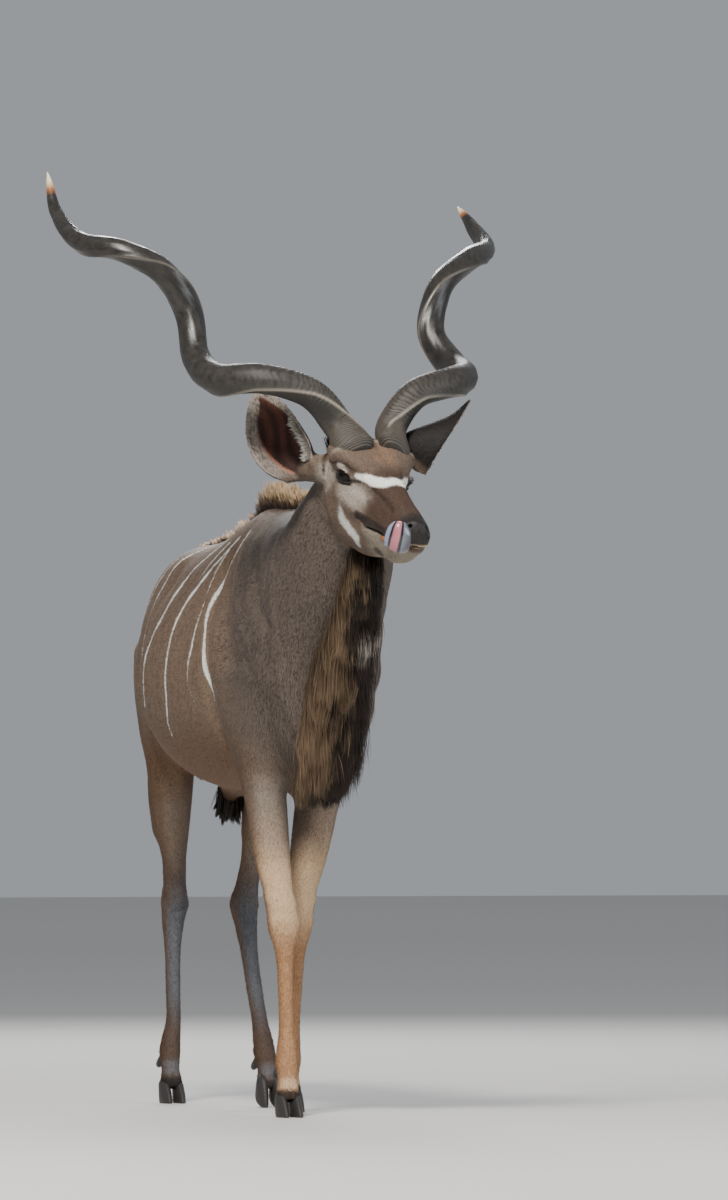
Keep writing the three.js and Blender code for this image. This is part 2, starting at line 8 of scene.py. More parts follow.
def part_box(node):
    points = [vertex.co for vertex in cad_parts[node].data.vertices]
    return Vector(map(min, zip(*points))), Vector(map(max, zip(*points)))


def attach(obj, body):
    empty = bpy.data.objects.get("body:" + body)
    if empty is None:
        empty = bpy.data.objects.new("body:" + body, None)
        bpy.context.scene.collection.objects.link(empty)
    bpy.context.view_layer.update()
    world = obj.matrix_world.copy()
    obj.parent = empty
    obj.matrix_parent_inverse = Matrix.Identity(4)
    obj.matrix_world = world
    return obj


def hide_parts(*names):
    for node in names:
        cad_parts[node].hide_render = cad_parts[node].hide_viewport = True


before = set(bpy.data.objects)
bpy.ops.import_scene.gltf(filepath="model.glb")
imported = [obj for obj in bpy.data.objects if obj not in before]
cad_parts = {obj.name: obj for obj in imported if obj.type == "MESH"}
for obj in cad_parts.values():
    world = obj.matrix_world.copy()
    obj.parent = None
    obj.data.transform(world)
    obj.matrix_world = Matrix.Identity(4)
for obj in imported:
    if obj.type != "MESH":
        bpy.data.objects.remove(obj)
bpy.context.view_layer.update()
scene = bpy.context.scene
random = np.random.default_rng(7)
MM = 0.001

# The animal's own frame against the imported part's, from the outer claw of the right forefoot.
CLAW_MIDDLE = np.array([-76.0, -5.5])
claw_low, claw_high = (np.array(corner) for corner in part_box("hoof_fore_right_outer"))
SHIFT = np.append((claw_low + claw_high)[:2] / 2 - CLAW_MIDDLE * MM, 0.0)


# Small mathematics.
def unit(v):
    return v / np.maximum(np.linalg.norm(v, axis=-1, keepdims=True), 1e-12)


def square_to(v, axis):
    """The unit vector square to a unit axis that lies nearest to v."""
    return unit(v - axis * (v @ axis))


def turn(axis, degrees):
    return np.array(Matrix.Rotation(np.radians(degrees), 3, axis))


def vectors(*columns):
    """Rows of vectors from columns and single numbers."""
    return np.stack(np.broadcast_arrays(*columns), -1)


def fade(low, high, x):
    """0 at low and 1 at high, smooth in between. Low may be the greater of the two."""
    t = np.clip((x - low) / (high - low), 0, 1)
    return t * t * (3 - 2 * t)


def mix(a, b, share):
    share = np.asarray(share)
    if np.ndim(a) > np.ndim(share) or np.ndim(b) > np.ndim(share):
        share = share[..., None]
    return a * (1 - share) + b * share


def smooth_union(a, b, blend):
    h = np.maximum(blend - np.abs(a - b), 0) / blend
    return np.minimum(a, b) - h * h * blend / 4


class Curve:
    """Smooth values along a parameter, from a few stations: the first column is the parameter."""

    def __init__(self, stations, samples=500):
        table = np.array(stations, float)
        x, y = table[:, 0], table[:, 1:]
        slopes = np.gradient(y, x, axis=0)
        self.start, self.end = x[0], x[-1]
        q = np.linspace(x[0], x[-1], samples)
        i = np.clip(np.searchsorted(x, q, side="right") - 1, 0, len(x) - 2)
        h = (x[i + 1] - x[i])[:, None]
        t = (q - x[i])[:, None] / h
        self.rows = (
            (2 * t**3 - 3 * t**2 + 1) * y[i]
            + (t**3 - 2 * t**2 + t) * h * slopes[i]
            + (3 * t**2 - 2 * t**3) * y[i + 1]
            + (t**3 - t**2) * h * slopes[i + 1]
        )

    def __call__(self, q):
        last = len(self.rows) - 1
        f = np.clip((np.asarray(q, float) - self.start) / (self.end - self.start) * last, 0, last - 1e-6)
        i = f.astype(int)
        w = (f - i)[..., None]
        return self.rows[i] * (1 - w) + self.rows[i + 1] * w


# The flesh, as fields of distance. A part is its field and the box that it fills.
def with_ends(side, q, curve):
    """Distance from a part that is cut flat at its ends, from the distance to its side."""
    past = np.maximum(curve.start - q, 0) + np.maximum(q - curve.end, 0)
    return np.where(past > 0, np.hypot(np.maximum(side, 0), past), side)


def upright_part(stations, inset):
    """Sections along Y: y, top, bottom, half width, level of the widest point, squareness of each half."""
    table = np.array(stations, float) * ([MM] * 5 + [1, 1])
    curve = Curve(table, 1500)
    step = (curve.end - curve.start) / (len(curve.rows) - 1)
    slopes = np.gradient(curve.rows[:, :3], step, axis=0)
    curve.rows = np.column_stack([curve.rows, 1 / np.hypot(1, np.abs(slopes).max(1))])

    def distance(p):
        top, bottom, half, level, lower, crown, cosine = curve(p[:, 1]).T
        rise = p[:, 2] - level
        reach = np.maximum(np.where(rise > 0, top - level, level - bottom) - inset, 1e-4)
        square = np.where(rise > 0, crown, lower)
        wide = np.maximum(half - inset, 1e-4)
        k = ((np.abs(p[:, 0]) / wide) ** square + (np.abs(rise) / reach) ** square) ** (1 / square)
        length = np.hypot(p[:, 0], rise)
        return with_ends((length - length / np.maximum(k, 1e-6)) * cosine, p[:, 1], curve)

    wide = table[:, 3].max()
    low = np.array([-wide, table[0, 0], table[:, 2].min()])
    high = np.array([wide, table[-1, 0], table[:, 1].max()])
    return {"distance": distance, "low": low, "high": high}


def sweep_part(stations, axis, inset):
    """Oval sections along a bent line that always advances along axis: x, y, z, half width, half depth."""
    table = np.array(stations, float) * MM
    axis = unit(np.array(axis, float))
    centres = table[:, :3]
    advance = centres @ axis
    side = square_to(np.array([1.0, 0, 0]), axis)
    up = np.cross(axis, side)
    line = Curve(np.column_stack([advance, table]))
    lean = np.gradient(line.rows[:, :3], (line.end - line.start) / (len(line.rows) - 1), axis=0)
    cosine = 1 / np.maximum(np.linalg.norm(lean, axis=1), 1)
    line.rows = np.column_stack([line.rows, cosine])

    def distance(p):
        q = p @ axis
        row = line(q)
        offset = p - row[:, :3]
        across = offset @ side
        deep = (offset @ up) * row[:, 5]
        half_width, half_depth = np.maximum(row[:, 3:5] - inset, 1e-3).T
        k = np.hypot(across / half_width, deep / half_depth)
        length = np.hypot(across, deep)
        return with_ends(length - length / np.maximum(k, 1e-6), q, line)

    margin = table[:, 3:5].max(1)[:, None]
    low, high = (centres - margin).min(0), (centres + margin).max(0)
    return {"distance": distance, "low": low, "high": high, "line": line, "side": side, "stations": advance}


# How far the skin lies inside the outline that the solids give.
COAT_DEPTH = {"body": 0.006, "head": 0.003, "leg": 0.003, "tail": 0.008, "bare": 0.002}

# Trunk: y, top, bottom, half width, level of the widest point, squareness below and above it.
TRUNK = [
    [-140, 1105, 945, 45, 1020, 2.1, 2.1], [-118, 1180, 880, 92, 1030, 2.1, 2.1],
    [-70, 1262, 826, 122, 1040, 2.1, 2.1], [0, 1330, 790, 143, 1040, 2.1, 2.0],
    [90, 1378, 764, 162, 1030, 2.1, 1.85], [190, 1406, 750, 182, 1015, 2.1, 1.75],
    [300, 1418, 746, 200, 1005, 2.1, 1.7], [400, 1404, 746, 212, 1000, 2.1, 1.7],
    [510, 1376, 746, 221, 1000, 2.1, 1.75], [620, 1356, 749, 226, 1000, 2.1, 1.8],
    [720, 1346, 760, 225, 1008, 2.1, 1.85], [810, 1342, 780, 214, 1020, 2.1, 1.9],
    [890, 1340, 812, 190, 1035, 2.1, 1.95], [970, 1337, 850, 171, 1045, 2.1, 2.1],
    [1040, 1328, 880, 156, 1050, 2.1, 2.1], [1110, 1304, 912, 137, 1060, 2.1, 2.1],
    [1170, 1266, 950, 110, 1075, 2.1, 2.1], [1212, 1214, 1000, 76, 1090, 2.1, 2.1],
    [1234, 1160, 1062, 34, 1110, 2.1, 2.1],
]
# Legs: x, y, z, half width, half depth, from inside the body down to the coronet.
LEGS = {
    "foreleg_right": [
        [-108, 100, 1010, 58, 120], [-112, 112, 930, 59, 108], [-108, 118, 860, 56, 92],
        [-99, 108, 795, 53, 76], [-90, 96, 725, 50, 62], [-84, 86, 650, 47, 52], [-77, 76, 575, 43, 43],
        [-69, 67, 520, 38, 38], [-61, 61, 472, 38, 38], [-57, 58, 430, 38, 37], [-56, 55, 385, 26, 29],
        [-55, 50, 290, 20.5, 23.5], [-55, 43, 195, 21, 24], [-56, 36, 148, 27, 29],
        [-57, 31, 122, 29, 29], [-58, 20, 82, 25, 26], [-60, 10, 52, 29, 29], [-60, 8, 40, 28, 27],
    ],
    "foreleg_left": [
        [104, 165, 1010, 58, 120], [104, 180, 930, 59, 108], [94, 190, 860, 57, 92],
        [78, 194, 795, 56, 76], [62, 200, 725, 53, 62], [52, 212, 650, 49, 52], [42, 224, 575, 44, 43],
        [34, 240, 515, 37, 37], [31, 250, 470, 36, 37], [31, 263, 428, 35, 35], [32, 280, 380, 25, 28],
        [34, 304, 290, 20.5, 23.5], [36, 333, 195, 21, 24], [36, 350, 148, 27, 29],
        [37, 356, 122, 29, 29], [38, 362, 82, 25, 26], [40, 368, 52, 29, 29], [40, 368, 40, 28, 27],
    ],
    "hindleg_right": [
        [-88, 1010, 1080, 66, 172], [-99, 985, 980, 67, 162], [-103, 965, 890, 64, 138],
        [-99, 958, 815, 58, 104], [-90, 985, 740, 53, 78], [-78, 1022, 660, 44, 57],
        [-60, 1072, 580, 31, 42], [-46, 1120, 525, 29, 44], [-38, 1146, 478, 33, 52],
        [-41, 1150, 428, 28, 38], [-44, 1142, 380, 22.5, 30], [-48, 1124, 280, 20, 26],
        [-52, 1108, 190, 21, 26], [-60, 1100, 148, 26, 30], [-63, 1094, 120, 27.5, 30],
        [-65, 1080, 82, 24, 26], [-66, 1068, 52, 28, 29], [-66, 1066, 40, 27, 27],
    ],
    "hindleg_left": [
        [88, 1000, 1080, 66, 168], [102, 950, 990, 69, 160], [112, 885, 900, 68, 140],
        [110, 835, 825, 62, 108], [104, 828, 750, 54, 76], [95, 852, 670, 44, 54],
        [87, 890, 590, 31, 40], [82, 924, 525, 30, 46], [80, 940, 478, 34, 55],
        [82, 926, 425, 28, 38], [82, 902, 370, 23, 31], [82, 852, 280, 21.5, 26],
        [84, 804, 195, 22, 27], [85, 778, 150, 27, 30], [85, 762, 122, 28, 30],
        [83, 735, 88, 24.5, 26], [80, 715, 62, 28, 28], [79, 708, 52, 26, 26],
    ],
}
NECK = [
    [0, 100, 1150, 140, 235], [0, -75, 1222, 134, 208], [1, -175, 1262, 134, 166], [2, -255, 1325, 124, 138],
    [3, -318, 1382, 106, 117], [3, -358, 1434, 88, 102], [2, -388, 1470, 70, 84],
]
NECK_AXIS = (0, -0.84, 0.54)
TAIL = [
    [0, 1180, 1262, 26, 20], [0, 1222, 1245, 27, 19], [0, 1252, 1200, 25, 16], [0, 1266, 1130, 25, 14],
    [0, 1270, 1050, 26, 14], [0, 1268, 970, 25, 14], [0, 1264, 890, 20, 12],
]
SCROTUM = [
    [0, 1020, 925, 26, 30], [0, 1030, 870, 30, 34], [0, 1034, 825, 35, 35], [0, 1034, 796, 28, 28],
    [0, 1034, 784, 14, 14],
]
HANGING_AXIS = (0, 0.1, -1)
SHEATH = [
    [0, 560, 752, 12, 10], [0, 640, 758, 20, 16], [0, 720, 756, 24, 22], [0, 770, 742, 22, 22],
    [0, 792, 728, 12, 12],
]
SHEATH_AXIS = (0, 1, -0.05)

# The head's own frame: its origin lies between the eyes, +X is its left, -Y its nose, +Z its crown.
# Its sections have the trunk's columns, with one squareness for both halves.
HEAD_PLACE = np.array([9, -460, 1453]) * MM
HEAD_TURN = turn("Z", 12) @ turn("X", 29) @ turn("Y", 5)
HEAD = [
    [-270, -18, -26, 3, -22, 2.0], [-268, -8, -30, 14, -22, 2.1], [-264, 7, -34, 25, -23, 2.2],
    [-258, 18, -40, 35, -23, 2.2], [-250, 27, -54, 40, -24, 2.2], [-236, 32, -81, 45, -26, 2.1],
    [-218, 34, -98, 46, -28, 2.2], [-192, 36, -105, 45, -34, 2.3], [-160, 40, -115, 46, -38, 2.3],
    [-120, 47, -134, 51, -40, 2.2], [-80, 56, -149, 60, -34, 2.1], [-45, 64, -155, 73, -18, 2.1],
    [-14, 73, -156, 88, 0, 2.15], [14, 80, -150, 90, 4, 2.15], [45, 82, -134, 84, 0, 2.15],
    [78, 74, -112, 75, -8, 2.1], [112, 58, -88, 62, -12, 2.0], [145, 20, -50, 30, -14, 2.0],
]
HEAD = [[*row, row[-1]] for row in HEAD]
EYE_RADIUS = 20.5
EYE_PLACE = {side: np.array([72.0 * side, -10, 11]) for side in (-1, 1)}
# Each ear is a cupped leaf on a stalk; open is the way the cup faces, bow bends the leaf sideways.
EARS = {
    "ear_right": {
        "stalk": [-74, 92, -24], "root": [-118, 108, -50], "tip": [-191, 283, 65],
        "open": [-0.77, -0.55, 0.32], "half": 64, "cup": 70, "bow": -14,
    },
    "ear_left": {
        "stalk": [74, 84, 8], "root": [155, 80, 4], "tip": [249, 110, 173],
        "open": [0.81, -0.47, -0.36], "half": 58, "cup": 104, "bow": 0,
    },
}
EAR_WIDTH = Curve([
    [0, 0.55], [0.12, 0.82], [0.3, 1], [0.48, 1], [0.65, 0.89], [0.8, 0.66], [0.92, 0.38], [1, 0.05],
])
EAR_THICKNESS = 0.005
EAR_SWELL = 0.004                  # added to either face while the mesh is made, then taken off
# The stalk's half width, from the skull to a little way up the leaf.
STALK = ((-0.3, 34), (0.3, 31), (0.75, 27), (1.15, 20))
HORN_LINE = {
    "left": [
        [46, 24, 72], [72, 104, 90], [134, 154, 152], [240, 202, 170], [324, 286, 152], [344, 384, 138],
        [322, 476, 172], [354, 550, 256], [448, 616, 304], [532, 702, 298], [548, 814, 302], [544, 896, 312],
    ],
    "right": [
        [-58, 22, 64], [-72, 100, 86], [-142, 140, 136], [-250, 182, 138], [-310, 266, 90], [-310, 380, 84],
        [-314, 470, 154], [-382, 522, 224], [-474, 574, 242], [-532, 666, 214], [-542, 792, 226],
        [-544, 884, 282],
    ],
}
SIGN = {"left": 1, "right": -1}
COLLAR_LENGTH, COLLAR_WIDTH = 51, 35
PEDICLE_DROP = np.array([0, -2, -22])
PEDICLE_RADII = np.array([60.0, 42, 28]) * MM


def to_head(p):
    return (p - HEAD_PLACE) @ HEAD_TURN


def from_head(q):
    return q @ HEAD_TURN.T + HEAD_PLACE


def in_head(part):
    """A part given in the head's frame, seen from the animal's."""
    corners = np.array([[a, b, c] for a in (0, 1) for b in (0, 1) for c in (0, 1)])
    box = from_head(part["low"] + corners * (part["high"] - part["low"]))
    return {"distance": lambda p: part["distance"](to_head(p)), "low": box.min(0), "high": box.max(0)}


def fold(q):
    """Points of the head's frame, all laid on its left side."""
    return np.column_stack([np.abs(q[:, 0]), q[:, 1:]])


def ear_frame(ear):
    """An ear's root, its length, and its own axes: along it, across it and out of its cup."""
    root = np.array(ear["root"], float) * MM
    line = np.array(ear["tip"], float) * MM - root
    long = unit(line)
    face = square_to(np.array(ear["open"], float), long)
    return root, np.linalg.norm(line), long, np.cross(long, face), face


def ear_places(ear, q):
    """Where points of the head's frame lie on an ear: along it, across it and over its middle sheet,
    with the half width and the sheet's slope there."""
    root, length, long, across, face = ear_frame(ear)
    w = q - root
    t = w @ long / length
    tc = np.clip(t, 0, 1)
    half = ear["half"] * MM * EAR_WIDTH(tc)[..., 0]
    s = w @ across - ear["bow"] * MM * np.sin(np.pi * tc)
    depth = ear["cup"] * MM * (half / (ear["half"] * MM)) * (1 - tc) ** 1.4
    sheet = depth * (np.clip(s / half, -1, 1) ** 2 - 1)
    slope = 2 * depth * np.clip(np.abs(s) / half, 0, 1) / half
    return t, s, w @ face - sheet, half, slope


def ear_part(ear, swell):
    root, length, long, _, face = ear_frame(ear)

    def leaf(q):
        t, s, height, half, slope = ear_places(ear, q)
        rim = np.maximum(np.abs(s) - half, 0)
        beyond = (np.maximum(t - 1, 0) + np.maximum(-t, 0)) * length
        thick = EAR_THICKNESS * (0.7 + 0.9 * np.clip(1 - t, 0, 1) ** 3)
        near = np.abs(height) / np.sqrt(1 + slope**2)
        return np.sqrt(near**2 + rim**2 + beyond**2) - thick / 2 - swell

    stalk = np.array(ear["stalk"], float)
    base = root / MM + long * 14 - face * ear["cup"] * 0.5
    stem = sweep_part([[*(stalk + (base - stalk) * t), half, half] for t, half in STALK], base - stalk, 0)
    reach = ear["half"] * MM + 0.02
    ends = np.array([root, root + long * length, stalk * MM])

    def distance(q):
        return smooth_union(leaf(q), stem["distance"](q), 0.016)

    return {"distance": distance, "low": ends.min(0) - reach, "high": ends.max(0) + reach}


def horn_front(side):
    """The long way of a horn's oval base, towards its front."""
    return np.array([-0.5 * SIGN[side], -0.87, 0])


def horn_collar(side):
    """Places around the foot of a horn, where the skin swells a little."""
    base, after = np.array(HORN_LINE[side][:2], float)
    onward = unit(after - base)
    across = square_to(horn_front(side), onward)
    other = np.cross(onward, across)
    angles = np.radians(np.arange(0, 361, 20))
    long_way = np.outer(COLLAR_LENGTH * np.cos(angles), across)
    return base + long_way + np.outer(COLLAR_WIDTH * np.sin(angles), other)


def pedicle_part(side):
    """The bony stump that carries a horn, as an ellipsoid on axes of its own."""
    centre = (HORN_LINE[side][0] + PEDICLE_DROP) * MM
    x, y, _ = horn_front(side)
    axes = np.array([[x, y, 0], [-y, x, 0], [0, 0, 1]])

    def distance(p):
        q = (p - centre) @ axes.T
        k = np.linalg.norm(q / PEDICLE_RADII, axis=1)
        length = np.linalg.norm(q, axis=1)
        return length - length / np.maximum(k, 1e-6)

    reach = PEDICLE_RADII.max()
    return {"distance": distance, "low": centre - reach, "high": centre + reach}


def flesh(swell):
    """Every part of the one skin: its name, itself and the width over which it melts into the rest."""
    depth = COAT_DEPTH
    return [
        ("trunk", upright_part(TRUNK, depth["body"]), 0.02),
        ("neck", sweep_part(NECK, NECK_AXIS, depth["body"]), 0.09),
        *((name, sweep_part(LEGS[name], (0, 0, -1), depth["leg"]), 0.05) for name in LEGS),
        ("head", in_head(upright_part(HEAD, depth["head"])), 0.035),
        *(("head", in_head(pedicle_part(side)), 0.02) for side in HORN_LINE),
        *((name, in_head(ear_part(EARS[name], swell)), 0.012) for name in EARS),
        ("tail", sweep_part(TAIL, HANGING_AXIS, depth["tail"]), 0.03),
        ("scrotum", sweep_part(SCROTUM, HANGING_AXIS, depth["bare"]), 0.025),
        ("scrotum", sweep_part(SHEATH, SHEATH_AXIS, depth["bare"]), 0.04),
    ]


FAR = 0.3                          # stands for any greater distance
MARGIN = 0.09                      # a part's field is worked out this far around its box


def field(p, parts):
    """Distance from the skin, and the number of the part that each point belongs to."""
    total = np.full(len(p), FAR)
    nearest = np.full(len(p), FAR)
    owner = np.zeros(len(p), int)
    for number, (_, part, blend) in enumerate(parts):
        near = np.flatnonzero(np.all((p > part["low"] - MARGIN) & (p < part["high"] + MARGIN), axis=1))
        if not len(near):
            continue
        d = part["distance"](p[near])
        total[near] = smooth_union(total[near], d, blend)
        closer = d < nearest[near]
        nearest[near[closer]] = d[closer]
        owner[near[closer]] = number
    return total, owner


def places_in(*counts):
    """Every place of a box of cells, as rows of three whole numbers."""
    return np.stack(np.meshgrid(*(np.arange(n) for n in counts), indexing="ij"), -1).reshape(-1, 3)


def mesh_of_field(parts, cell, block=8, batch=1500):
    """Quads of the zero surface, found in blocks of cells near it."""
    room, slack = 0.03, 0.018
    low = np.min([part["low"] for _, part, _ in parts], axis=0) - room
    high = np.max([part["high"] for _, part, _ in parts], axis=0) + room
    corners = places_in(*np.ceil((high - low) / (block * cell)).astype(int)) * block
    rough, _ = field(low + (corners + (block - 1) / 2) * cell, parts)
    reach = block * cell * 0.5 * np.sqrt(3) + slack
    grid = openvdb.FloatGrid(FAR)
    for corner in corners[rough < -reach].tolist():
        grid.fill(tuple(corner), tuple(v + block - 1 for v in corner), -FAR, False)
    close = corners[np.abs(rough) <= reach]
    offsets = places_in(block, block, block)
    for start in range(0, len(close), batch):
        chosen = close[start:start + batch]
        points = low + ((chosen[:, None] + offsets[None]) * cell).reshape(-1, 3)
        values = field(points, parts)[0].astype(np.float32).reshape(-1, block, block, block)
        for corner, cube in zip(chosen.tolist(), values):
            grid.copyFromArray(cube, ijk=tuple(corner))
    points, quads = grid.convertToQuads(isovalue=0.0)
    return points * cell + low, quads


def gradient(p, parts, step=0.0008):
    out = np.empty_like(p)
    for axis in range(3):
        ahead, behind = p.copy(), p.copy()
        ahead[:, axis] += step
        behind[:, axis] -= step
        out[:, axis] = field(ahead, parts)[0] - field(behind, parts)[0]
    return unit(out)


def relax(p, edges, rounds=2):
    """Draws each point halfway towards the middle of its neighbours."""
    for _ in range(rounds):
        total = np.zeros_like(p)
        count = np.zeros(len(p))
        for a, b in (edges.T, edges.T[::-1]):
            for axis in range(3):
                total[:, axis] += np.bincount(a, p[b, axis], len(p))
            count += np.bincount(a, minlength=len(p))
        p = (p + total / count[:, None]) / 2
    return p


def settle(p, parts, rounds=2):
    """Moves points along the field's slope until they lie on the skin."""
    for _ in range(rounds):
        d, _ = field(p, parts)
        p = p - gradient(p, parts) * np.clip(d, -0.006, 0.006)[:, None]
    return p


def refine(points, quads, levels):
    """Splits the faces near the head finer, then near the eyes, lips and nostrils."""
    mesh = bpy.data.meshes.new("refined")
    mesh.from_pydata(points.tolist(), [], quads.tolist())
    work = bmesh.new()
    work.from_mesh(mesh)
    for wanted in levels:
        middles = np.array([edge.verts[0].co + edge.verts[1].co for edge in work.edges]) / 2
        chosen = [edge for edge, near in zip(work.edges, wanted(middles)) if near]
        bmesh.ops.subdivide_edges(work, edges=chosen, cuts=1, use_grid_fill=True)
    work.to_mesh(mesh)
    work.free()
    finer = np.empty(len(mesh.vertices) * 3)
    mesh.vertices.foreach_get("co", finer)
    edges = np.empty(len(mesh.edges) * 2, np.int32)
    mesh.edges.foreach_get("vertices", edges)
    faces = [tuple(face.vertices) for face in mesh.polygons]
    bpy.data.meshes.remove(mesh)
    return finer.reshape(-1, 3), faces, edges.reshape(-1, 2)


def near_eye(q, reach):
    """Which places of the head, in mm, lie this near to an eye."""
    return np.min([np.linalg.norm(q - place, axis=1) for place in EYE_PLACE.values()], axis=0) < reach


def near_head(p):
    q = to_head(p) / MM
    head = np.all((q > [-130, -285, -150]) & (q < [130, 130, 110]), axis=1)
    for ear in EARS.values():
        root, length, long, _, _ = ear_frame(ear)
        w = to_head(p) - root
        t = np.clip(w @ long / length, 0, 1)
        head |= np.linalg.norm(w - t[:, None] * long * length, axis=1) < 0.09
    return head


def near_face(p):
    q = to_head(p) / MM
    muzzle = (q[:, 1] < -195) & (q[:, 2] > -125)
    lips = (q[:, 1] < -60) & (np.abs(q[:, 2] + 44) < 18)
    face = (near_eye(q, 46) | muzzle | lips) & (np.abs(q[:, 0]) < 110)
    for ear in EARS.values():
        t, s, height, half, _ = ear_places(ear, q * MM)
        rim = (half - np.abs(s) < 0.010) & (np.abs(s) < 0.09)
        face |= rim & (t > -0.1) & (t < 1.12) & (np.abs(height) < 0.05)
    return face


# The line between the lips: its level along the head.
LIPS = Curve([[-275, -29], [-240, -35], [-180, -46], [-145, -54], [-112, -61], [-90, -60], [-62, -50]])


def lip_level(y):
    return LIPS(y)[..., 0]


def near_openings(p):
    q = to_head(p) / MM
    lips = (q[:, 1] < -66) & (np.abs(q[:, 2] - lip_level(q[:, 1])) < 7)
    nose = (q[:, 1] < -226) & (np.abs(q[:, 2] - 8) < 26)
    return (near_eye(q, 33) | lips | nose) & (np.abs(q[:, 0]) < 110)


# Muscles, bones and folds, as strokes that raise or hollow the skin.
def from_line(p, line):
    """Distance of points from a line with bends."""
    best = np.full(len(p), np.inf)
    for a, b in zip(line[:-1], line[1:]):
        along = b - a
        t = np.clip((p - a) @ along / max(along @ along, 1e-12), 0, 1)
        best = np.minimum(best, np.linalg.norm(p - a - t[:, None] * along, axis=1))
    return best


def stroke(p, line, radius, height):
    """How far a soft ridge along a line raises each point; a hollow has a negative height."""
    line = np.array(line, float) * MM
    line = line if len(line) > 1 else np.repeat(line, 2, 0)
    reach = 3 * radius * MM
    near = np.all((p > line.min(0) - reach) & (p < line.max(0) + reach), axis=1)
    amount = np.zeros(len(p))
    amount[near] = height * MM * np.exp(-(from_line(p[near], line) / (radius * MM)) ** 2)
    return amount


# On the side of the trunk and neck: radius, height, then places as y, z.
SIDE_STROKES = [
    (20, 5, [200, 1330], [110, 1215], [10, 1090]),          # spine of the shoulder blade
    (34, 4, [120, 1330], [20, 1200], [-50, 1090]),          # muscle before it
    (30, -4, [230, 1260], [150, 1130]),                     # hollow behind it
    (48, 12, [-62, 1010]),                                  # point of the shoulder
    (60, 9, [215, 1110], [130, 930]),                       # triceps
    (26, -10, [310, 1290], [270, 1080], [238, 930], [185, 830]),
    (24, -7, [150, 1395], [10, 1260], [-85, 1130]),         # where the neck meets the shoulder
    (18, -6, [-60, 1070], [-170, 1190], [-290, 1325]),      # furrow of the throat
    (40, 6, [-40, 1330], [-180, 1370], [-290, 1425]),       # crest muscle of the neck
    (58, -13, [765, 1235]),                                 # hollow of the flank
    (26, -8, [800, 1130], [836, 990], [842, 900]),          # fold before the thigh
    (34, 12, [835, 1292]),                                  # hip bone
    (30, 9, [1175, 1195]),                                  # pin bone
    (26, -7, [1096, 1190], [1092, 1040], [1050, 900]),      # between the thigh muscles
    (60, 6, [960, 1120], [940, 960]),                       # thigh
]
# Ribs, from behind the shoulder to the flank, leaning forward as they go down.
SIDE_STROKES += [
    (12, 1.6, *([y - 52 * lean, level] for lean, level in ((0, 1270), (0.3, 1080), (1, 900))))
    for y in range(400, 850, 50)
]
# On a leg: radius, height, then places as station number and angle around the leg, where 0 is
# the outer side, 90 the front and 180 the inner side.
FORELEG_STROKES = [
    (24, 9, [3, -90]),
    (13, -4, [3.2, -40], [4.6, -28]),
    (24, 5, [3.5, 60], [5.4, 55]),
    (22, 4, [3.7, -60], [5.4, -60]),
    (9, -3, [5, -18], [6.9, -12]),
    (12, 3.5, [7.4, 30]), (12, 3.5, [8.6, 35]), (12, 3, [7.5, 150]), (12, 3, [8.6, 150]),
    (10, -2, [8.05, 60], [8.05, 120]),
    (12, 7, [8.1, -90]),
    (6, -3.5, [9.6, -28], [13.2, -28]), (6, -3.5, [9.6, 208], [13.2, 208]),
    (11, 3, [13.9, -55]), (11, 3, [13.9, 235]),
    (12, -4, [15, -90]),
    (6, -5, [15.4, 90], [17, 90]),
]
HINDLEG_STROKES = [
    (26, 7, [3, 88]),
    (28, -7, [1.6, -38], [3.6, -28]),
    (28, 6, [3.6, -65], [4.9, -60]),
    (20, 5, [4, 62], [5.8, 62]),
    (14, -7, [5.5, -28], [7.1, -25]), (14, -6, [5.5, 208], [7.1, 205]),
    (11, 6, [7.1, -90]),
    (13, 4, [8, 5]), (13, 4, [8, 175]),
    (11, -3, [8.4, 90]),
    (7, -4, [8.3, -40], [9.6, -36]),
    (6, -3.5, [9.8, -28], [13.2, -28]), (6, -3.5, [9.8, 208], [13.2, 208]),
    (11, 3, [13.9, -55]), (11, 3, [13.9, 235]),
    (12, -4, [15, -90]),
    (6, -5, [15.4, 90], [17, 90]),
]
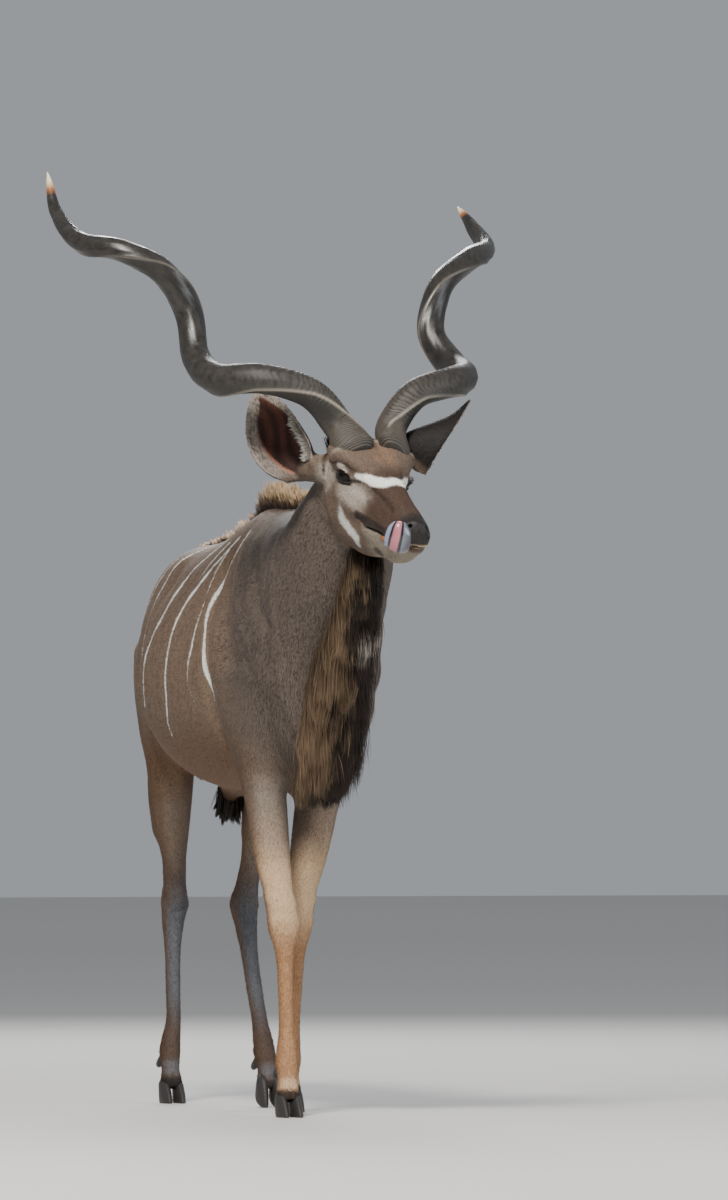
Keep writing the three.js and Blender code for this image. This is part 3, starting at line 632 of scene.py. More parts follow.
# On the left of the head, in its frame, and mirrored: radius, height, then places.
HEAD_STROKES = [
    (20, 7, [84, 26, 44], [88, 0, 56], [76, -26, 52], [58, -44, 42]),         # brow
    (8, 2.5, [88, 22, -14], [90, 2, -22], [80, -22, -18]),                     # lower rim of the eye
    (13, -5, [64, -44, 2], [55, -80, 4]),                                      # hollow before the eye
    (12, 4, [84, -14, -36], [64, -80, -46], [52, -130, -50]),                  # ridge of the cheek
    (28, 6, [76, 34, -66], [72, -8, -88]),                                     # jaw muscle
    (18, -5, [66, -62, -78], [54, -100, -78]),                                 # hollow before it
    (11, 3, [56, 56, -116], [56, -10, -132], [46, -90, -116], [38, -170, -100]),
    (18, -4, [76, 58, 26], [62, 96, 20]),                                      # temple
    (10, 3, [30, -50, 56], [24, -120, 44], [22, -200, 34]),                    # edge of the nose bridge
    (15, -3.5, [50, -110, 12], [44, -180, -2]),                                # side of the nose
    (8, -2, [0, 40, 82], [0, -40, 66]),                                        # middle of the brow
    (11, 3.5, [40, -236, 26], [44, -240, 6], [40, -246, -8]),                  # wing of the nostril
    (13, 3, [46, -200, -24], [42, -236, -24], [24, -256, -24]),                # upper lip
    (9, 2.5, [44, -190, -47], [38, -236, -50], [16, -254, -50]),               # lower lip
    (20, 4, [14, -240, -82]),                                                  # chin
    (4, -2.5, [0, -262, 6], [0, -268, -24]),                                   # groove under the nose
    (10, -3, [50, -100, -56]),                                                 # corner of the mouth
    (13, 4, [50, -112, -76], [42, -150, -70]),                                 # bulge of the lower lip
    (3, -1.6, [64, -32, -10], [72, -26, -22], [84, -6, -30]),                  # creases under the eye
    (3, -1.4, [66, -34, -18], [74, -26, -30], [84, -6, -38]),
    (5, -4.5, [98, 14, 28], [98, 3, 35], [88, -22, 42], [72, -38, 34]),        # crease over the lid
    (12, 4, [86, 56, -8], [82, 14, -40]),                                      # roll behind the eye
    (7, -3, [46, -84, 20], [34, -139, 16], [32, -177, 13]),                    # furrow beside the bridge
    (26, 5, [42, 24, 76]),                                                     # swelling before each horn
    (12, -3.5, [0, 46, 84], [0, 4, 78]),                                       # hollow between them
]
MOUTH = {"back": -90, "depth": 9, "gap": 2.2}
NOSTRIL = [[22, -253, 17], [28, -252, 11], [31, -253, 3], [29, -256, -4]]
NOSTRIL_DEPTH = 11


def leg_place(part, station, angle):
    """A place on the surface of a leg."""
    table = part["stations"]
    q = np.interp(station, np.arange(len(table)), table)
    x, y, z, across, depth, _ = part["line"](np.array([q]))[0]
    a = np.radians(angle)
    outward = np.sign(x) * np.cos(a) * across * part["side"]
    return np.array([x, y, z]) + outward + np.array([0, -1, 0]) * depth * np.sin(a)


def leg_relief(p, part, strokes):
    """How far the strokes of a leg raise its points; each stroke bends around the leg."""
    raised = np.zeros(len(p))
    for radius, height, *places in strokes:
        fine = [
            np.array(start) + (np.array(end) - start) * t
            for start, end in zip(places[:-1], places[1:])
            for t in (0, 0.34, 0.67)
        ] + [places[-1]]
        raised += stroke(p, [leg_place(part, *place) / MM for place in fine], radius, height)
    return raised


def relief(p, normal, parts):
    """How far each point of the skin is raised."""
    amount = np.zeros(len(p))
    side_on = np.abs(normal[:, 0]) * fade(0.03, 0.09, np.abs(p[:, 0]))
    above_legs = fade(0.70, 0.84, p[:, 2])
    flat = p * [0, 1, 1]
    for radius, height, *places in SIDE_STROKES:
        raised = stroke(flat, [[0, *place] for place in places], radius, height)
        amount += raised * side_on * above_legs
    for name, part, _ in parts:
        if name in LEGS:
            beside = p[:, 0] * np.sign(part["line"].rows[0, 0]) > -0.02
            near = beside & np.all((p > part["low"] - 0.02) & (p < part["high"] + 0.02), axis=1)
            strokes = FORELEG_STROKES if name.startswith("fore") else HINDLEG_STROKES
            amount[near] += leg_relief(p[near], part, strokes)
    q = to_head(p)
    folded = fold(q)
    for radius, height, *places in HEAD_STROKES:
        amount += stroke(folded, places, radius, height)
    for side in HORN_LINE:
        amount += stroke(q, horn_collar(side), 10, 5)
    return amount - (mouth_groove(q) + nostril_pit(q))


def mouth_groove(q):
    """The line between the lips, which drops and widens where the tongue leaves the mouth."""
    x, y, z = q.T / MM
    along = fade(MOUTH["back"] + 6, MOUTH["back"] - 14, y)
    licked = fade(-200, -225, y) * fade(10, -10, x)
    gap = MOUTH["gap"] + 4 * licked
    across = np.exp(-((z - lip_level(y) + 3 * licked) / gap) ** 2)
    return (np.abs(x) < 75) * along * MOUTH["depth"] * MM * across


def nostril_pit(q):
    d = from_line(fold(q), np.array(NOSTRIL) * MM) / MM
    return NOSTRIL_DEPTH * MM * fade(6.5, 1.5, d)


def eye_axes(side):
    """Outward, towards the nose and up, at one eye."""
    outward = unit(np.array([side, -0.34, 0.1]))
    forward = square_to(np.array([0, -1, -0.16]), outward)
    return outward, forward, np.cross(forward, outward) * side


# The almond between the lids, from the middle of the eye, and how far the lids stand off the ball.
OPENING = {"front": 23, "back": -19, "upper": 10.0, "lower": 9.0}
LID = 2.2
LID_REACH, LID_WHOLE = 44, 27      # the lids blend into the face between these distances
LID_MELT = 5.0
EYE_POCKET = 5.0                   # how far the skin lies inside the ball within the opening


def almond(u, height):
    """Half height of the opening between the lids, and its reach, along it."""
    reach = np.where(u > 0, OPENING["front"], -OPENING["back"])
    return height * np.clip(1 - (u / reach) ** 2, 0, 1) ** 0.75, reach


def lid_distance(u, h):
    """How far outside the opening between the lids a place is, in mm."""
    half, reach = almond(u, np.where(h > 0, OPENING["upper"], OPENING["lower"]))
    beyond = np.abs(u) - reach
    return np.where(beyond > 0, np.hypot(beyond, h), np.abs(h) - half)


def eye_places(q, side):
    """Along, up, outward and distance outside the opening, for points of the head's frame, in mm."""
    outward, forward, up = eye_axes(side)
    w = q / MM - EYE_PLACE[side]
    u, h, out = w @ forward, w @ up, w @ outward
    return u, h, out, lid_distance(u, h)


def shape_lids(p):
    """Draws the skin over each eyeball, and behind its surface where the eye is open."""
    q = to_head(p)
    for side in EYE_PLACE:
        _, _, out, outside = eye_places(q, side)
        w = q / MM - EYE_PLACE[side]
        radius = np.linalg.norm(w, axis=1)
        near = (radius < LID_REACH) & (out > -6)
        w, radius, out, outside = w[near], radius[near], out[near], outside[near]
        raised = -smooth_union(-radius, np.full(len(radius), -EYE_RADIUS - LID), LID_MELT)
        raised = mix(radius, raised, fade(LID_REACH, LID_WHOLE, radius))
        open_share = fade(0.5, -1.4, outside) * (out > 0)
        target = mix(raised, EYE_RADIUS - EYE_POCKET, open_share)
        q[near] = (EYE_PLACE[side] + w / radius[:, None] * target[:, None]) * MM
    return from_head(q)


# Colours and markings.
def shade_of(*rgb):
    """A colour of the picture (0 to 255) as the renderer counts it."""
    c = np.array(rgb, float) / 255
    return np.where(c <= 0.04045, c / 12.92, ((c + 0.055) / 1.055) ** 2.4)


BODY = shade_of(124, 105, 89)
BACK = shade_of(108, 88, 72)
BELLY = shade_of(106, 78, 54)
NECK_GREY = shade_of(101, 90, 82)
TAN = shade_of(192, 148, 108)
RUSTY = shade_of(160, 117, 82)
CREAM = shade_of(226, 200, 164)
WHITE = shade_of(238, 238, 232)
DARK = shade_of(38, 33, 30)
# A grey whose blue tint is painted sky light, as on the shaded fronts of the hind shanks.
BLUE_GREY = shade_of(90, 93, 99)
BROW = shade_of(106, 90, 78)
BRIDGE = shade_of(74, 58, 49)
CHEEK = shade_of(172, 163, 152)
MUZZLE = shade_of(42, 36, 34)
NOSE_PAD = shade_of(40, 35, 33)
CHIN = shade_of(136, 126, 112)
EAR_BACK = shade_of(38, 34, 33)
EAR_INSIDE = shade_of(66, 36, 27)
EAR_RIM = shade_of(152, 141, 131)
EAR_SKIN = shade_of(190, 134, 112)

# Lines of the head's markings, folded to one side, as x, y, z: the white band between the eyes with
# its half width, then the jaw's white streak with its half width at some levels, the painted shadow behind
# the jaw, the dark band of the lip, and the painted shade in the furrow beside the nose and over the lid.
CHEVRON = [[0, -101, 50], [23, -102, 43], [41, -78, 33], [50, -61, 31], [63, -45, 28]]
CHEVRON_HALF = 12
JAW_STREAK = [
    [76, -30, -50], [73, -34, -61], [61, -45, -86], [51, -65, -98], [43, -92, -105], [34, -99, -119],
]
JAW_LEVELS = [-122, -104, -86, -61, -48]
JAW_HALF = [5, 13, 12, 4, 2]
THROAT_SHADE_LINE = [[84, 50, -40], [74, 30, -84], [60, 6, -120]]
LIP_BAND = [[56, -84, -50], [46, -139, -44], [43, -190, -36]]
FURROW_SHADE_LINE = [[42, -88, 20], [34, -139, 16], [32, -177, 13]]
BROW_SHADE_LINE = [[98, 14, 28], [98, 3, 35], [88, -22, 43], [72, -38, 35]]
# A painted shadow from the front corner of each eye along the edge of the nose bridge.
TEAR_SHADE_LINE = [[20, 0, 0], [32, 8, 0], [42, 16, 0]]      # in the eye's own frame


def blob(q, centre, radii):
    """1 in the middle of an ellipsoid in mm, fading to 0 at its edge."""
    d = np.linalg.norm((q - np.array(centre)) / np.array(radii), axis=1)
    return fade(1.15, 0.6, d)


def beside(q, line, far, close):
    """1 close to a line, fading to 0 far from it, in mm."""
    return fade(far, close, from_line(q, np.array(line, float)))


def blotches(q, size):
    """Soft uneven spots, 0 to 1, of about this size."""
    x, y, z = (q / size).T
    first = np.sin(x + 2.1 * np.sin(0.7 * y + 0.4 * z)) * np.sin(z * 0.9 + 1.7 * np.sin(0.8 * x - 0.5 * y))
    second = np.sin(1.9 * y + 1.3 * np.sin(1.1 * z)) * np.sin(2.3 * x - 0.8 * z)
    return fade(-0.1, 0.7, first + 0.5 * second)


def paint(c, *layers):
    """Lays colours over c one after the other, each by its share."""
    for colour, share in layers:
        c = mix(c, colour, share)
    return c


def hide_colour(p, normal, part_of, kind_of):
    """The coat's colour at points of the skin, with painted shade and sky light on the legs and painted
    shade in the face's creases, without the body's white lines.
    """
    x, y, z = p.T / MM
    c = paint(
        np.tile(BODY, (len(p), 1)),
        (BACK, 0.8 * fade(1180, 1340, z) * fade(200, 420, y)),
        (BELLY, 0.85 * fade(960, 790, z)),
        (DARK, 0.5 * fade(35, 12, np.abs(x)) * fade(790, 765, z)),
        (NECK_GREY, fade(260, 40, y + 0.25 * (1100 - z))),
    )
    for kind, colour_of in (("foreleg", foreleg_colour), ("hindleg", hindleg_colour)):
        mine = kind_of == kind
        c[mine] = colour_of(c[mine], p[mine], normal[mine])
    head = np.isin(kind_of, ["head", "ear"])
    c[head] = head_colour(c[head], to_head(p[head]))
    for name, ear in EARS.items():
        mine = part_of == name
        c[mine] = ear_colour(c[mine], to_head(p[mine]), normal[mine] @ HEAD_TURN, ear)
    tail = kind_of == "tail"
    c[tail] = mix(BODY, WHITE, 0.8 * fade(0.3, 0.9, -normal[tail, 1])[:, None])
    return c


def foreleg_colour(c, p, normal):
    z = p[:, 2] / MM
    front = fade(-0.1, 0.75, -normal[:, 1])
    inner = fade(0.1, 0.8, -normal[:, 0] * np.sign(p[:, 0]))
    return paint(
        c,
        (TAN, fade(760, 520, z) * (0.3 + 0.5 * front)),
        (CHEEK, 0.4 * front * fade(820, 730, z) * fade(540, 640, z)),
        (RUSTY, (0.7 - 0.4 * front) * fade(560, 340, z)),
        (CREAM, 0.6 * front * fade(660, 540, z) * fade(370, 490, z)),
        (RUSTY, 0.3 * blotches(p / MM, 5.0) * fade(490, 400, z)),
        # Painted shade on the inner side of the upper forearm, between the legs.
        (DARK, 0.45 * fade(800, 740, z) * fade(560, 660, z) * inner),
        (RUSTY * 0.5, 0.5 * fade(150, 128, z) * fade(92, 112, z) * (1 - front)),
        (CREAM, 0.5 * fade(100, 82, z) * fade(60, 72, z) * front),
        (DARK, 0.95 * fade(70, 60, z)),
    )


def hindleg_colour(c, p, normal):
    z = p[:, 2] / MM
    front = fade(-0.1, 0.75, -normal[:, 1])
    return paint(
        c,
        (BELLY, 0.45 * fade(980, 700, z)),
        (CHEEK * 0.8, 0.35 * front * fade(820, 700, z) * fade(520, 600, z)),
        # The grey front of the hind shanks is partly real; its blue tint is painted sky light.
        (BLUE_GREY, (0.25 + 0.75 * front) * fade(640, 440, z) * 0.95),
        (BELLY * 0.8, (1 - front) * 0.7 * fade(620, 400, z)),
        (BELLY * 0.55, 0.8 * fade(290, 150, z)),
        # A paler grey on the hind pastern's front, its blue tint painted sky light.
        (BLUE_GREY * 1.4, 0.5 * fade(112, 96, z) * fade(64, 78, z) * front),
        (DARK, fade(70, 58, z)),
    )


def head_colour(c, q):
    q = q / MM
    _, y, z = q.T
    folded = fold(q)
    chin = fade(-46, -54, z)
    jaw = from_line(folded, np.array(JAW_STREAK, float))
    jaw_half = np.interp(z, JAW_LEVELS, JAW_HALF) + 2.5 * blotches(q, 3.0) - 1
    c = paint(
        c,
        (BROW, fade(150, 80, y)),
        (BRIDGE, fade(-30, -78, y) * fade(70, 44, folded[:, 0]) * fade(-30, -6, z)),
        (CHEEK, 0.55 * blob(folded, (63, -56, -14), (44, 66, 40)) * (0.6 + 0.4 * blotches(q, 6.0))),
        (CHEEK, 0.7 * blob(folded, (64, -52, -14), (30, 44, 28))),
        (CHEEK, 0.6 * blob(folded, (84, 46, -20), (26, 44, 44))),
        (BRIDGE, 0.9 * fade(-84, -120, y) * fade(6, -10, z) * fade(-48, -38, z)),
        (RUSTY, 0.3 * blob(folded, (12, 0, 74), (24, 60, 30)) * (0.3 + 0.7 * blotches(q, 5.0))),
        (CHIN, chin * fade(-110, -160, y)),
        (BROW, 0.8 * chin * fade(-160, -110, y) * fade(-50, -90, y)),
        (CHIN, 0.8 * blob(folded, (43, -134, -70), (22, 36, 18))),
        (MUZZLE * 1.4, 0.7 * blob(folded, (28, -176, -94), (16, 20, 14))),
        (WHITE * 0.8, 0.85 * fade(jaw_half + 3, jaw_half - 5, jaw)),
        # Painted shadow between the jaw and the neck.
        (DARK, 0.5 * beside(folded, THROAT_SHADE_LINE, 9, 2)),
        (MUZZLE * 1.2, 0.92 * beside(folded, LIP_BAND, 13, 6)),
        # Painted shade in the furrow beside the nose bridge.
        (MUZZLE * 1.2, 0.6 * beside(folded, FURROW_SHADE_LINE, 8, 2)),
        # Painted shadow in the crease under the brow, over the lid.
        (MUZZLE * 1.2, 0.75 * beside(folded, BROW_SHADE_LINE, 6, 1.5)),
        *((CHEEK * 0.8, 0.5 * beside(q, horn_collar(side), 9, 4)) for side in HORN_LINE),
        (NOSE_PAD, fade(-206, -236, y) * fade(-26, -18, z)),
        (CREAM * 0.85, 0.8 * fade(-226, -244, y) * fade(-20, -26, z) * fade(-38, -34, z)),
        (MUZZLE, 0.9 * fade(5, 2, np.abs(z - lip_level(y))) * fade(MOUTH["back"], MOUTH["back"] - 20, y)),
        (shade_of(190, 110, 60), 0.7 * blob(folded, (46, -196, -46), (12, 12, 8))),
    )
    for side in EYE_PLACE:
        u, h, out, outside = eye_places(q * MM, side)
        facing = out > 0
        rim = 1.2 + 3 * fade(2, 18, u) + 4 * fade(1, -7, h)
        local = vectors(u, h, 0)
        c = paint(
            c,
            (CHEEK * 1.1, facing * blob(local, (-8, 15, 0), (18, 11, 9))),
            (MUZZLE * 0.7, facing * fade(rim + 3.5, rim, outside)),
            # Painted shadow from the eye's front corner along the bridge's edge.
            (MUZZLE, facing * 0.85 * beside(local, TEAR_SHADE_LINE, 6, 2.5)),
        )
    narrow = CHEVRON_HALF - 6 * fade(34, 62, folded[:, 0])
    chevron = from_line(folded, np.array(CHEVRON, float)) - narrow
    return mix(c, WHITE, fade(2.2, -1.4, chevron))


def ear_colour(c, q, normal, ear):
    t, s, _, half, slope = ear_places(ear, q)
    _, _, _, across, face = ear_frame(ear)
    inside = fade(-0.1, 0.2, normal @ face - slope * np.sign(s) * (normal @ across) * 0.5)
    edge = half - np.abs(s)
    back = mix(EAR_BACK, DARK, 0.7 * fade(0.35, 0.9, t)[:, None])
    streaks = 0.5 + 0.5 * np.sin(s / MM / 5.5 + 4 * np.sin(t * 7))
    within = mix(np.tile(EAR_INSIDE, (len(q), 1)), DARK, 0.6 * fade(0.5, 0.05, t))
    within = within * (0.5 + 0.9 * streaks)[:, None]
    # The outer half of the rim is broad and mottled, with bare skin on its inner border.
    outer = fade(-0.003, 0.006, s * np.sign(ear["root"][0]))
    mottled = mix(EAR_RIM, EAR_BACK * 1.6, 0.75 * blotches(q / MM, 2.6)[:, None])
    reach = 0.010 + 0.013 * outer + 0.012 * fade(0.55, 1, t)
    bare_skin = outer * fade(0.75, 0.1, t) * fade(reach + 0.012 * (1 - t), reach + 0.003, edge)
    within = paint(
        within,
        (EAR_SKIN, 0.8 * bare_skin),
        (mottled, fade(reach + 0.004, reach - 0.003, edge)),
        (EAR_RIM, 0.9 * fade(0.0045, 0.002, edge)),
    )
    return mix(c, mix(back, within, inside), fade(0.02, 0.10, t))


# The white lines of the flank: strength, half width, then places as y and z on the body's side.
STRIPES = [
    [1.0, 6.5, [270, 1352], [296, 1252], [314, 1200], [308, 1140], [292, 1058], [250, 980], [222, 930]],
    [0.5, 4, [352, 1310], [362, 1200], [374, 1120], [380, 1058], [370, 1018], [330, 945]],
    [0.6, 3.5, [400, 1330], [446, 1292], [478, 1250], [492, 1215]],
    [1.0, 6.5, [330, 1340], [440, 1250], [500, 1195], [534, 1115], [538, 1040], [540, 940], [556, 880]],
    [1.0, 6.5, [500, 1345], [600, 1285], [642, 1214], [666, 1150], [722, 1087], [742, 1020], [752, 950]],
    [0.9, 6, [800, 1330], [850, 1260], [864, 1210], [852, 1127], [848, 1060]],
    [0.8, 5.5, [960, 1318], [985, 1230], [990, 1160], [975, 1090]],
    [0.7, 5, [1075, 1290], [1088, 1220], [1082, 1160]],
]


# Meshes.
def vertex_values(mesh, layer, field):
    """Three numbers of every vertex, as rows."""
    out = np.empty(len(mesh.vertices) * 3)
    layer.foreach_get(field, out)
    return out.reshape(-1, 3)


def new_object(name, points, faces):
    mesh = bpy.data.meshes.new(name)
    mesh.from_pydata((np.asarray(points) + SHIFT).tolist(), [], [list(face) for face in faces])
    mesh.validate()
    mesh.update()
    mesh.polygons.foreach_set("use_smooth", [True] * len(mesh.polygons))
    made = bpy.data.objects.new(name, mesh)
    scene.collection.objects.link(made)
    return made


def declare(piece, slot, *nodes):
    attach(piece, "root")
    if nodes:
        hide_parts(*nodes)


def tube(rings):
    """Points and faces through rings of equal count, closed at both ends."""
    rings = np.asarray(rings)
    count, around = rings.shape[:2]
    points = np.vstack([rings.reshape(-1, 3), rings[0].mean(0), rings[-1].mean(0)])
    first, last, end = len(points) - 2, len(points) - 1, (count - 1) * around
    sides = [
        (i + j, i + (j + 1) % around, i + around + (j + 1) % around, i + around + j)
        for i in range(0, end, around)
        for j in range(around)
    ]
    caps = [
        cap
        for j in range(around)
        for cap in ((first, (j + 1) % around, j), (last, end + j, end + (j + 1) % around))
    ]
    return points, sides + caps


def add_colour(mesh, colours):
    layer = mesh.color_attributes.new("hide", "FLOAT_COLOR", "POINT")
    layer.data.foreach_set("color", np.column_stack([colours, np.ones(len(colours))]).ravel())


def add_value(piece, values, name):
    layer = piece.data.attributes.new(name, "FLOAT", "POINT")
    layer.data.foreach_set("value", np.asarray(values, float))


CHART_GAP = 0.01                    # between the charts of the map, in metres
CHART_ROOM = 1.15                   # the map's area for each part of the charts' own


def pack_charts(chart, flat):
    """Lays charts (a number for each point) beside each other in the unit square."""
    names = np.unique(chart)
    lows = np.array([flat[chart == name].min(0) for name in names])
    sizes = np.array([flat[chart == name].max(0) for name in names]) - lows + CHART_GAP
    order = np.argsort(-sizes[:, 1])
    row_width = max(np.sqrt((sizes[:, 0] * sizes[:, 1]).sum() * CHART_ROOM), sizes[:, 0].max())
    places = np.zeros_like(sizes)
    at, level, height = 0.0, 0.0, 0.0
    for i in order:
        if at + sizes[i, 0] > row_width:
            at, level, height = 0.0, level + height, 0.0
        places[i] = at, level
        at += sizes[i, 0]
        height = max(height, sizes[i, 1])
    side = max(row_width, level + height)
    index = np.searchsorted(names, chart)
    return (flat - lows[index] + CHART_GAP / 2 + places[index]) / side


def charts(points, normal, owner):
    """The six-sided map of each part: a chart's number and the place on it in metres."""
    axis = np.argmax(np.abs(normal), axis=1)
    positive = np.take_along_axis(normal, axis[:, None], 1)[:, 0] > 0
    others = np.array([[1, 2], [0, 2], [0, 1]])[axis]
    return owner * 6 + axis * 2 + positive, np.take_along_axis(points, others, 1)


# Skin.
SKIN_CELL = 0.007                   # the size of its quads before they are split
parts = flesh(0)
part_names = [name for name, _, _ in parts]
points, faces = mesh_of_field(flesh(EAR_SWELL), SKIN_CELL)
points, faces, edges = refine(points, faces, [near_head, near_face, near_openings])
for _ in range(3):
    points = settle(relax(points, edges), parts, 1)
points = settle(points, parts, 1)
slope = gradient(points, parts)
points = points + slope * relief(points, slope, parts)[:, None]
points = shape_lids(points)
_, skin_owner = field(points, parts)
skin = new_object("skin", points, faces)
skin_points = vertex_values(skin.data, skin.data.vertices, "co") - SHIFT
skin_normal = vertex_values(skin.data, skin.data.vertex_normals, "vector")
part_of = np.array(part_names)[skin_owner]
kind_of = np.array([name.split("_")[0] for name in part_names])[skin_owner]
skin_colour = hide_colour(skin_points, skin_normal, part_of, kind_of)
add_colour(skin.data, skin_colour)
LEG_PIECES = {"fore": ("forearm", "cannon"), "hind": ("gaskin", "cannon")}
declare(
    skin, "coat", "trunk", "neck", "head", "ear_right", "ear_left", "tail", "scrotum",
    *(f"{leg}_{piece}" for leg in LEGS for piece in LEG_PIECES[leg[:4]]),
)


# Eyes.
EYE_RINGS, EYE_SIDES = 32, 48
EYE_BULGE, BULGE_REACH = 0.035, 0.5      # the clear front stands out, within this many radians


def eyeball(side):
    outward, forward, up = eye_axes(side)
    angles = np.linspace(0, 2 * np.pi, EYE_SIDES, endpoint=False)
    spin = np.outer(np.cos(angles), forward) + np.outer(np.sin(angles), up)
    rings = []
    for i in range(EYE_RINGS + 1):
        a = np.pi * (i + 0.02) / (EYE_RINGS + 0.04)
        radius = EYE_RADIUS * (1 + EYE_BULGE * np.exp(-(a / BULGE_REACH) ** 2))
        rings.append(EYE_PLACE[side] + radius * (np.cos(a) * outward + np.sin(a) * spin))
    points, faces = tube(rings)
    return from_head(points * MM), faces


eyes = []
for name, side in (("eye_right", -1), ("eye_left", 1)):
    ball = new_object(f"{name}_ball", *eyeball(side))
    declare(ball, "eye", name)
    # Each point's place from the middle of the eye: towards the nose, up and outward.
    ball_points = vertex_values(ball.data, ball.data.vertices, "co") - SHIFT
    gaze = ball.data.attributes.new("gaze", "FLOAT_VECTOR", "POINT")
    gaze.data.foreach_set("vector", np.column_stack(eye_places(to_head(ball_points), side)[:3]).ravel())
    eyes.append(ball)


# Horns.
HORN_THICKNESS = Curve([
    [0, 41], [0.05, 37.5], [0.15, 36], [0.3, 35.5], [0.45, 34], [0.6, 31], [0.7, 28], [0.8, 23.5],
    [0.88, 18], [0.94, 12], [0.975, 7.5], [1, 1.5],
])
BASE_OVAL, OVAL_END = 0.22, 0.08
HORN_SIDES = 40
GROWTH_RINGS, RINGS_END = 46, 0.42
KEEL, FLANK, FAR_RIB = (0, 11), (58, 36), (-150, 24)      # middle and width round the horn, in degrees
# Middle and width round the horn of the highlight painted along the keel, in degrees.
KEEL_HIGHLIGHT = (0, 5)
RING_HEIGHT = 2.0
RING_CROWDING = 0.25                # the share of the horn over which the rings crowd to its base
# How the growth rings wander: how far, with how many waves round the horn and along it.
RING_WANDER = ((0.7, 2, 1.3), (0.3, 5, 9), (0.35, 3, -40))
# How high the keel and the far rib stand and how deep the flank is, as shares of the radius.
KEEL_HEIGHT, FLANK_DEPTH, FAR_RIB_HEIGHT = 0.13, 0.09, 0.035
HORN_FOOT, FOOT_RING = 20, 4.8      # how deep the base goes into the skin, and how far apart its rings are
# How far the keel has turned round each horn, in degrees, from the base at 0 to the tip at 1.
KEEL_TURN = Curve([
    [0, 0], [0.06, 35], [0.12, 60], [0.19, 97], [0.24, 118], [0.30, 148], [0.36, 180], [0.58, 305],
    [0.64, 352], [0.72, 415], [1, 640],
])


def lobe(angle, middle, width):
    """1 at an angle round the horn, in degrees, fading over a width to either side."""
    return np.exp(-((angle - np.radians(middle)) / np.radians(width)) ** 2)


def horn_rings(side):
    """Sections of a horn from base to tip: its points, how high its growth rings stand, and t."""
    line = np.array(HORN_LINE[side], float)
    centre = Curve(np.column_stack([np.linspace(0, 1, len(line)), line]), 4000)
    stretches = ((0, 0.12, 190, False), (0.12, RINGS_END, 240, False), (RINGS_END, 1, 110, True))
    steps = np.concatenate([np.linspace(*stretch) for stretch in stretches])
    middle = centre(steps)
    onward = unit(np.gradient(middle, steps, axis=0))
    across = horn_front(side)
    from_keel = np.linspace(0, 2 * np.pi, HORN_SIDES, endpoint=False)
    bend = (from_keel + np.pi) % (2 * np.pi) - np.pi
    wear = np.random.default_rng(11 + SIGN[side])
    phase = np.append(0, np.cumsum(wear.uniform(0.6, 1.4, 2 * GROWTH_RINGS)))
    keel, flank, far_rib = (lobe(bend, *where) for where in (KEEL, FLANK, FAR_RIB))
    rings, crests = [], []
    for t, place, way in zip(steps, middle, onward):
        across = square_to(across, way)
        other = np.cross(way, across)
        angles = SIGN[side] * (from_keel + np.radians(KEEL_TURN(t)[0]))
        oval = BASE_OVAL * max(1 - t / OVAL_END, 0)
        strength = fade(0.99, 0.9, t) * fade(0.0, 0.09, t)
        shape = 0.985 + strength * (KEEL_HEIGHT * keel - FLANK_DEPTH * flank + FAR_RIB_HEIGHT * far_rib)
        # The growth rings crowd towards the base, wander round the sheath and vary in width.
        slow = (1 - np.exp(-t / RING_CROWDING)) / (1 - np.exp(-RINGS_END / RING_CROWDING))
        f = np.interp(slow * GROWTH_RINGS, phase, np.arange(len(phase)))
        for far, waves_round, waves_along in RING_WANDER:
            f = f + far * np.sin(waves_round * angles + waves_along * t)
        crest = np.abs(np.sin(np.pi * f)) ** 0.8
        near_base = fade(0.14, 0.07, t)
        one_side = (1 - 0.75 * flank) * fade(-0.3, 0.4, np.cos(bend + 1.6) + 0.5)
        ringing = fade(RINGS_END, 0.16, t) * (0.7 + 0.3 * near_base) * mix(one_side, 1.0, near_base)
        flute = 0.35 * np.sin(9 * from_keel + 26 * t) + 0.25 * np.sin(17 * from_keel - 31 * t + 1)
        radial = HORN_THICKNESS(t)[0] * shape + RING_HEIGHT * ringing * (crest - 0.55) + flute * strength
        long_way = np.outer(radial * (1 + oval) * np.cos(angles), across)
        rings.append(place + long_way + np.outer(radial * (1 - oval) * np.sin(angles), other))
        crests.append(crest ** 4 * ringing * fade(0.34, 0.05, t))
    # The foot is rounded into the skin and ringed like the rest.
    depths = np.linspace(HORN_FOOT, 0.8, 24)[::-1]
    first_ring = rings[0] - middle[0]
    for depth in depths:
        swell = 0.5 - 0.5 * np.cos(2 * np.pi * depth / FOOT_RING)
        share = np.sqrt(1 - (depth / (1.25 * HORN_FOOT)) ** 2) + 0.05 * (swell - 0.5)
        rings.insert(0, middle[0] - onward[0] * depth + first_ring * share)
        crests.insert(0, np.full(HORN_SIDES, swell ** 4))
    return rings, np.ravel(crests), np.append(np.zeros(len(depths)), steps), bend


horns = []
for side in HORN_LINE:
    rings, crests, steps, bend = horn_rings(side)
    horn_points, horn_faces = tube(rings)
    horn = new_object(f"horn_{side}_sheath", from_head(horn_points * MM), horn_faces)
    add_value(horn, np.append(np.repeat(steps, HORN_SIDES), [0, 1]), "along")
    # The keel value marks where a highlight is painted along the keel.
    add_value(horn, np.append(np.tile(lobe(bend, *KEEL_HIGHLIGHT), len(steps)), [0, 0]), "keel")
    # The flank value marks where shade is painted in the hollow beside the keel.
    add_value(horn, np.append(np.tile(lobe(bend, *FLANK), len(steps)), [0, 0]), "flank")
    add_value(horn, np.append(crests, [0, 0]), "crest")
    declare(horn, "horn", f"horn_{side}")
    horns.append(horn)


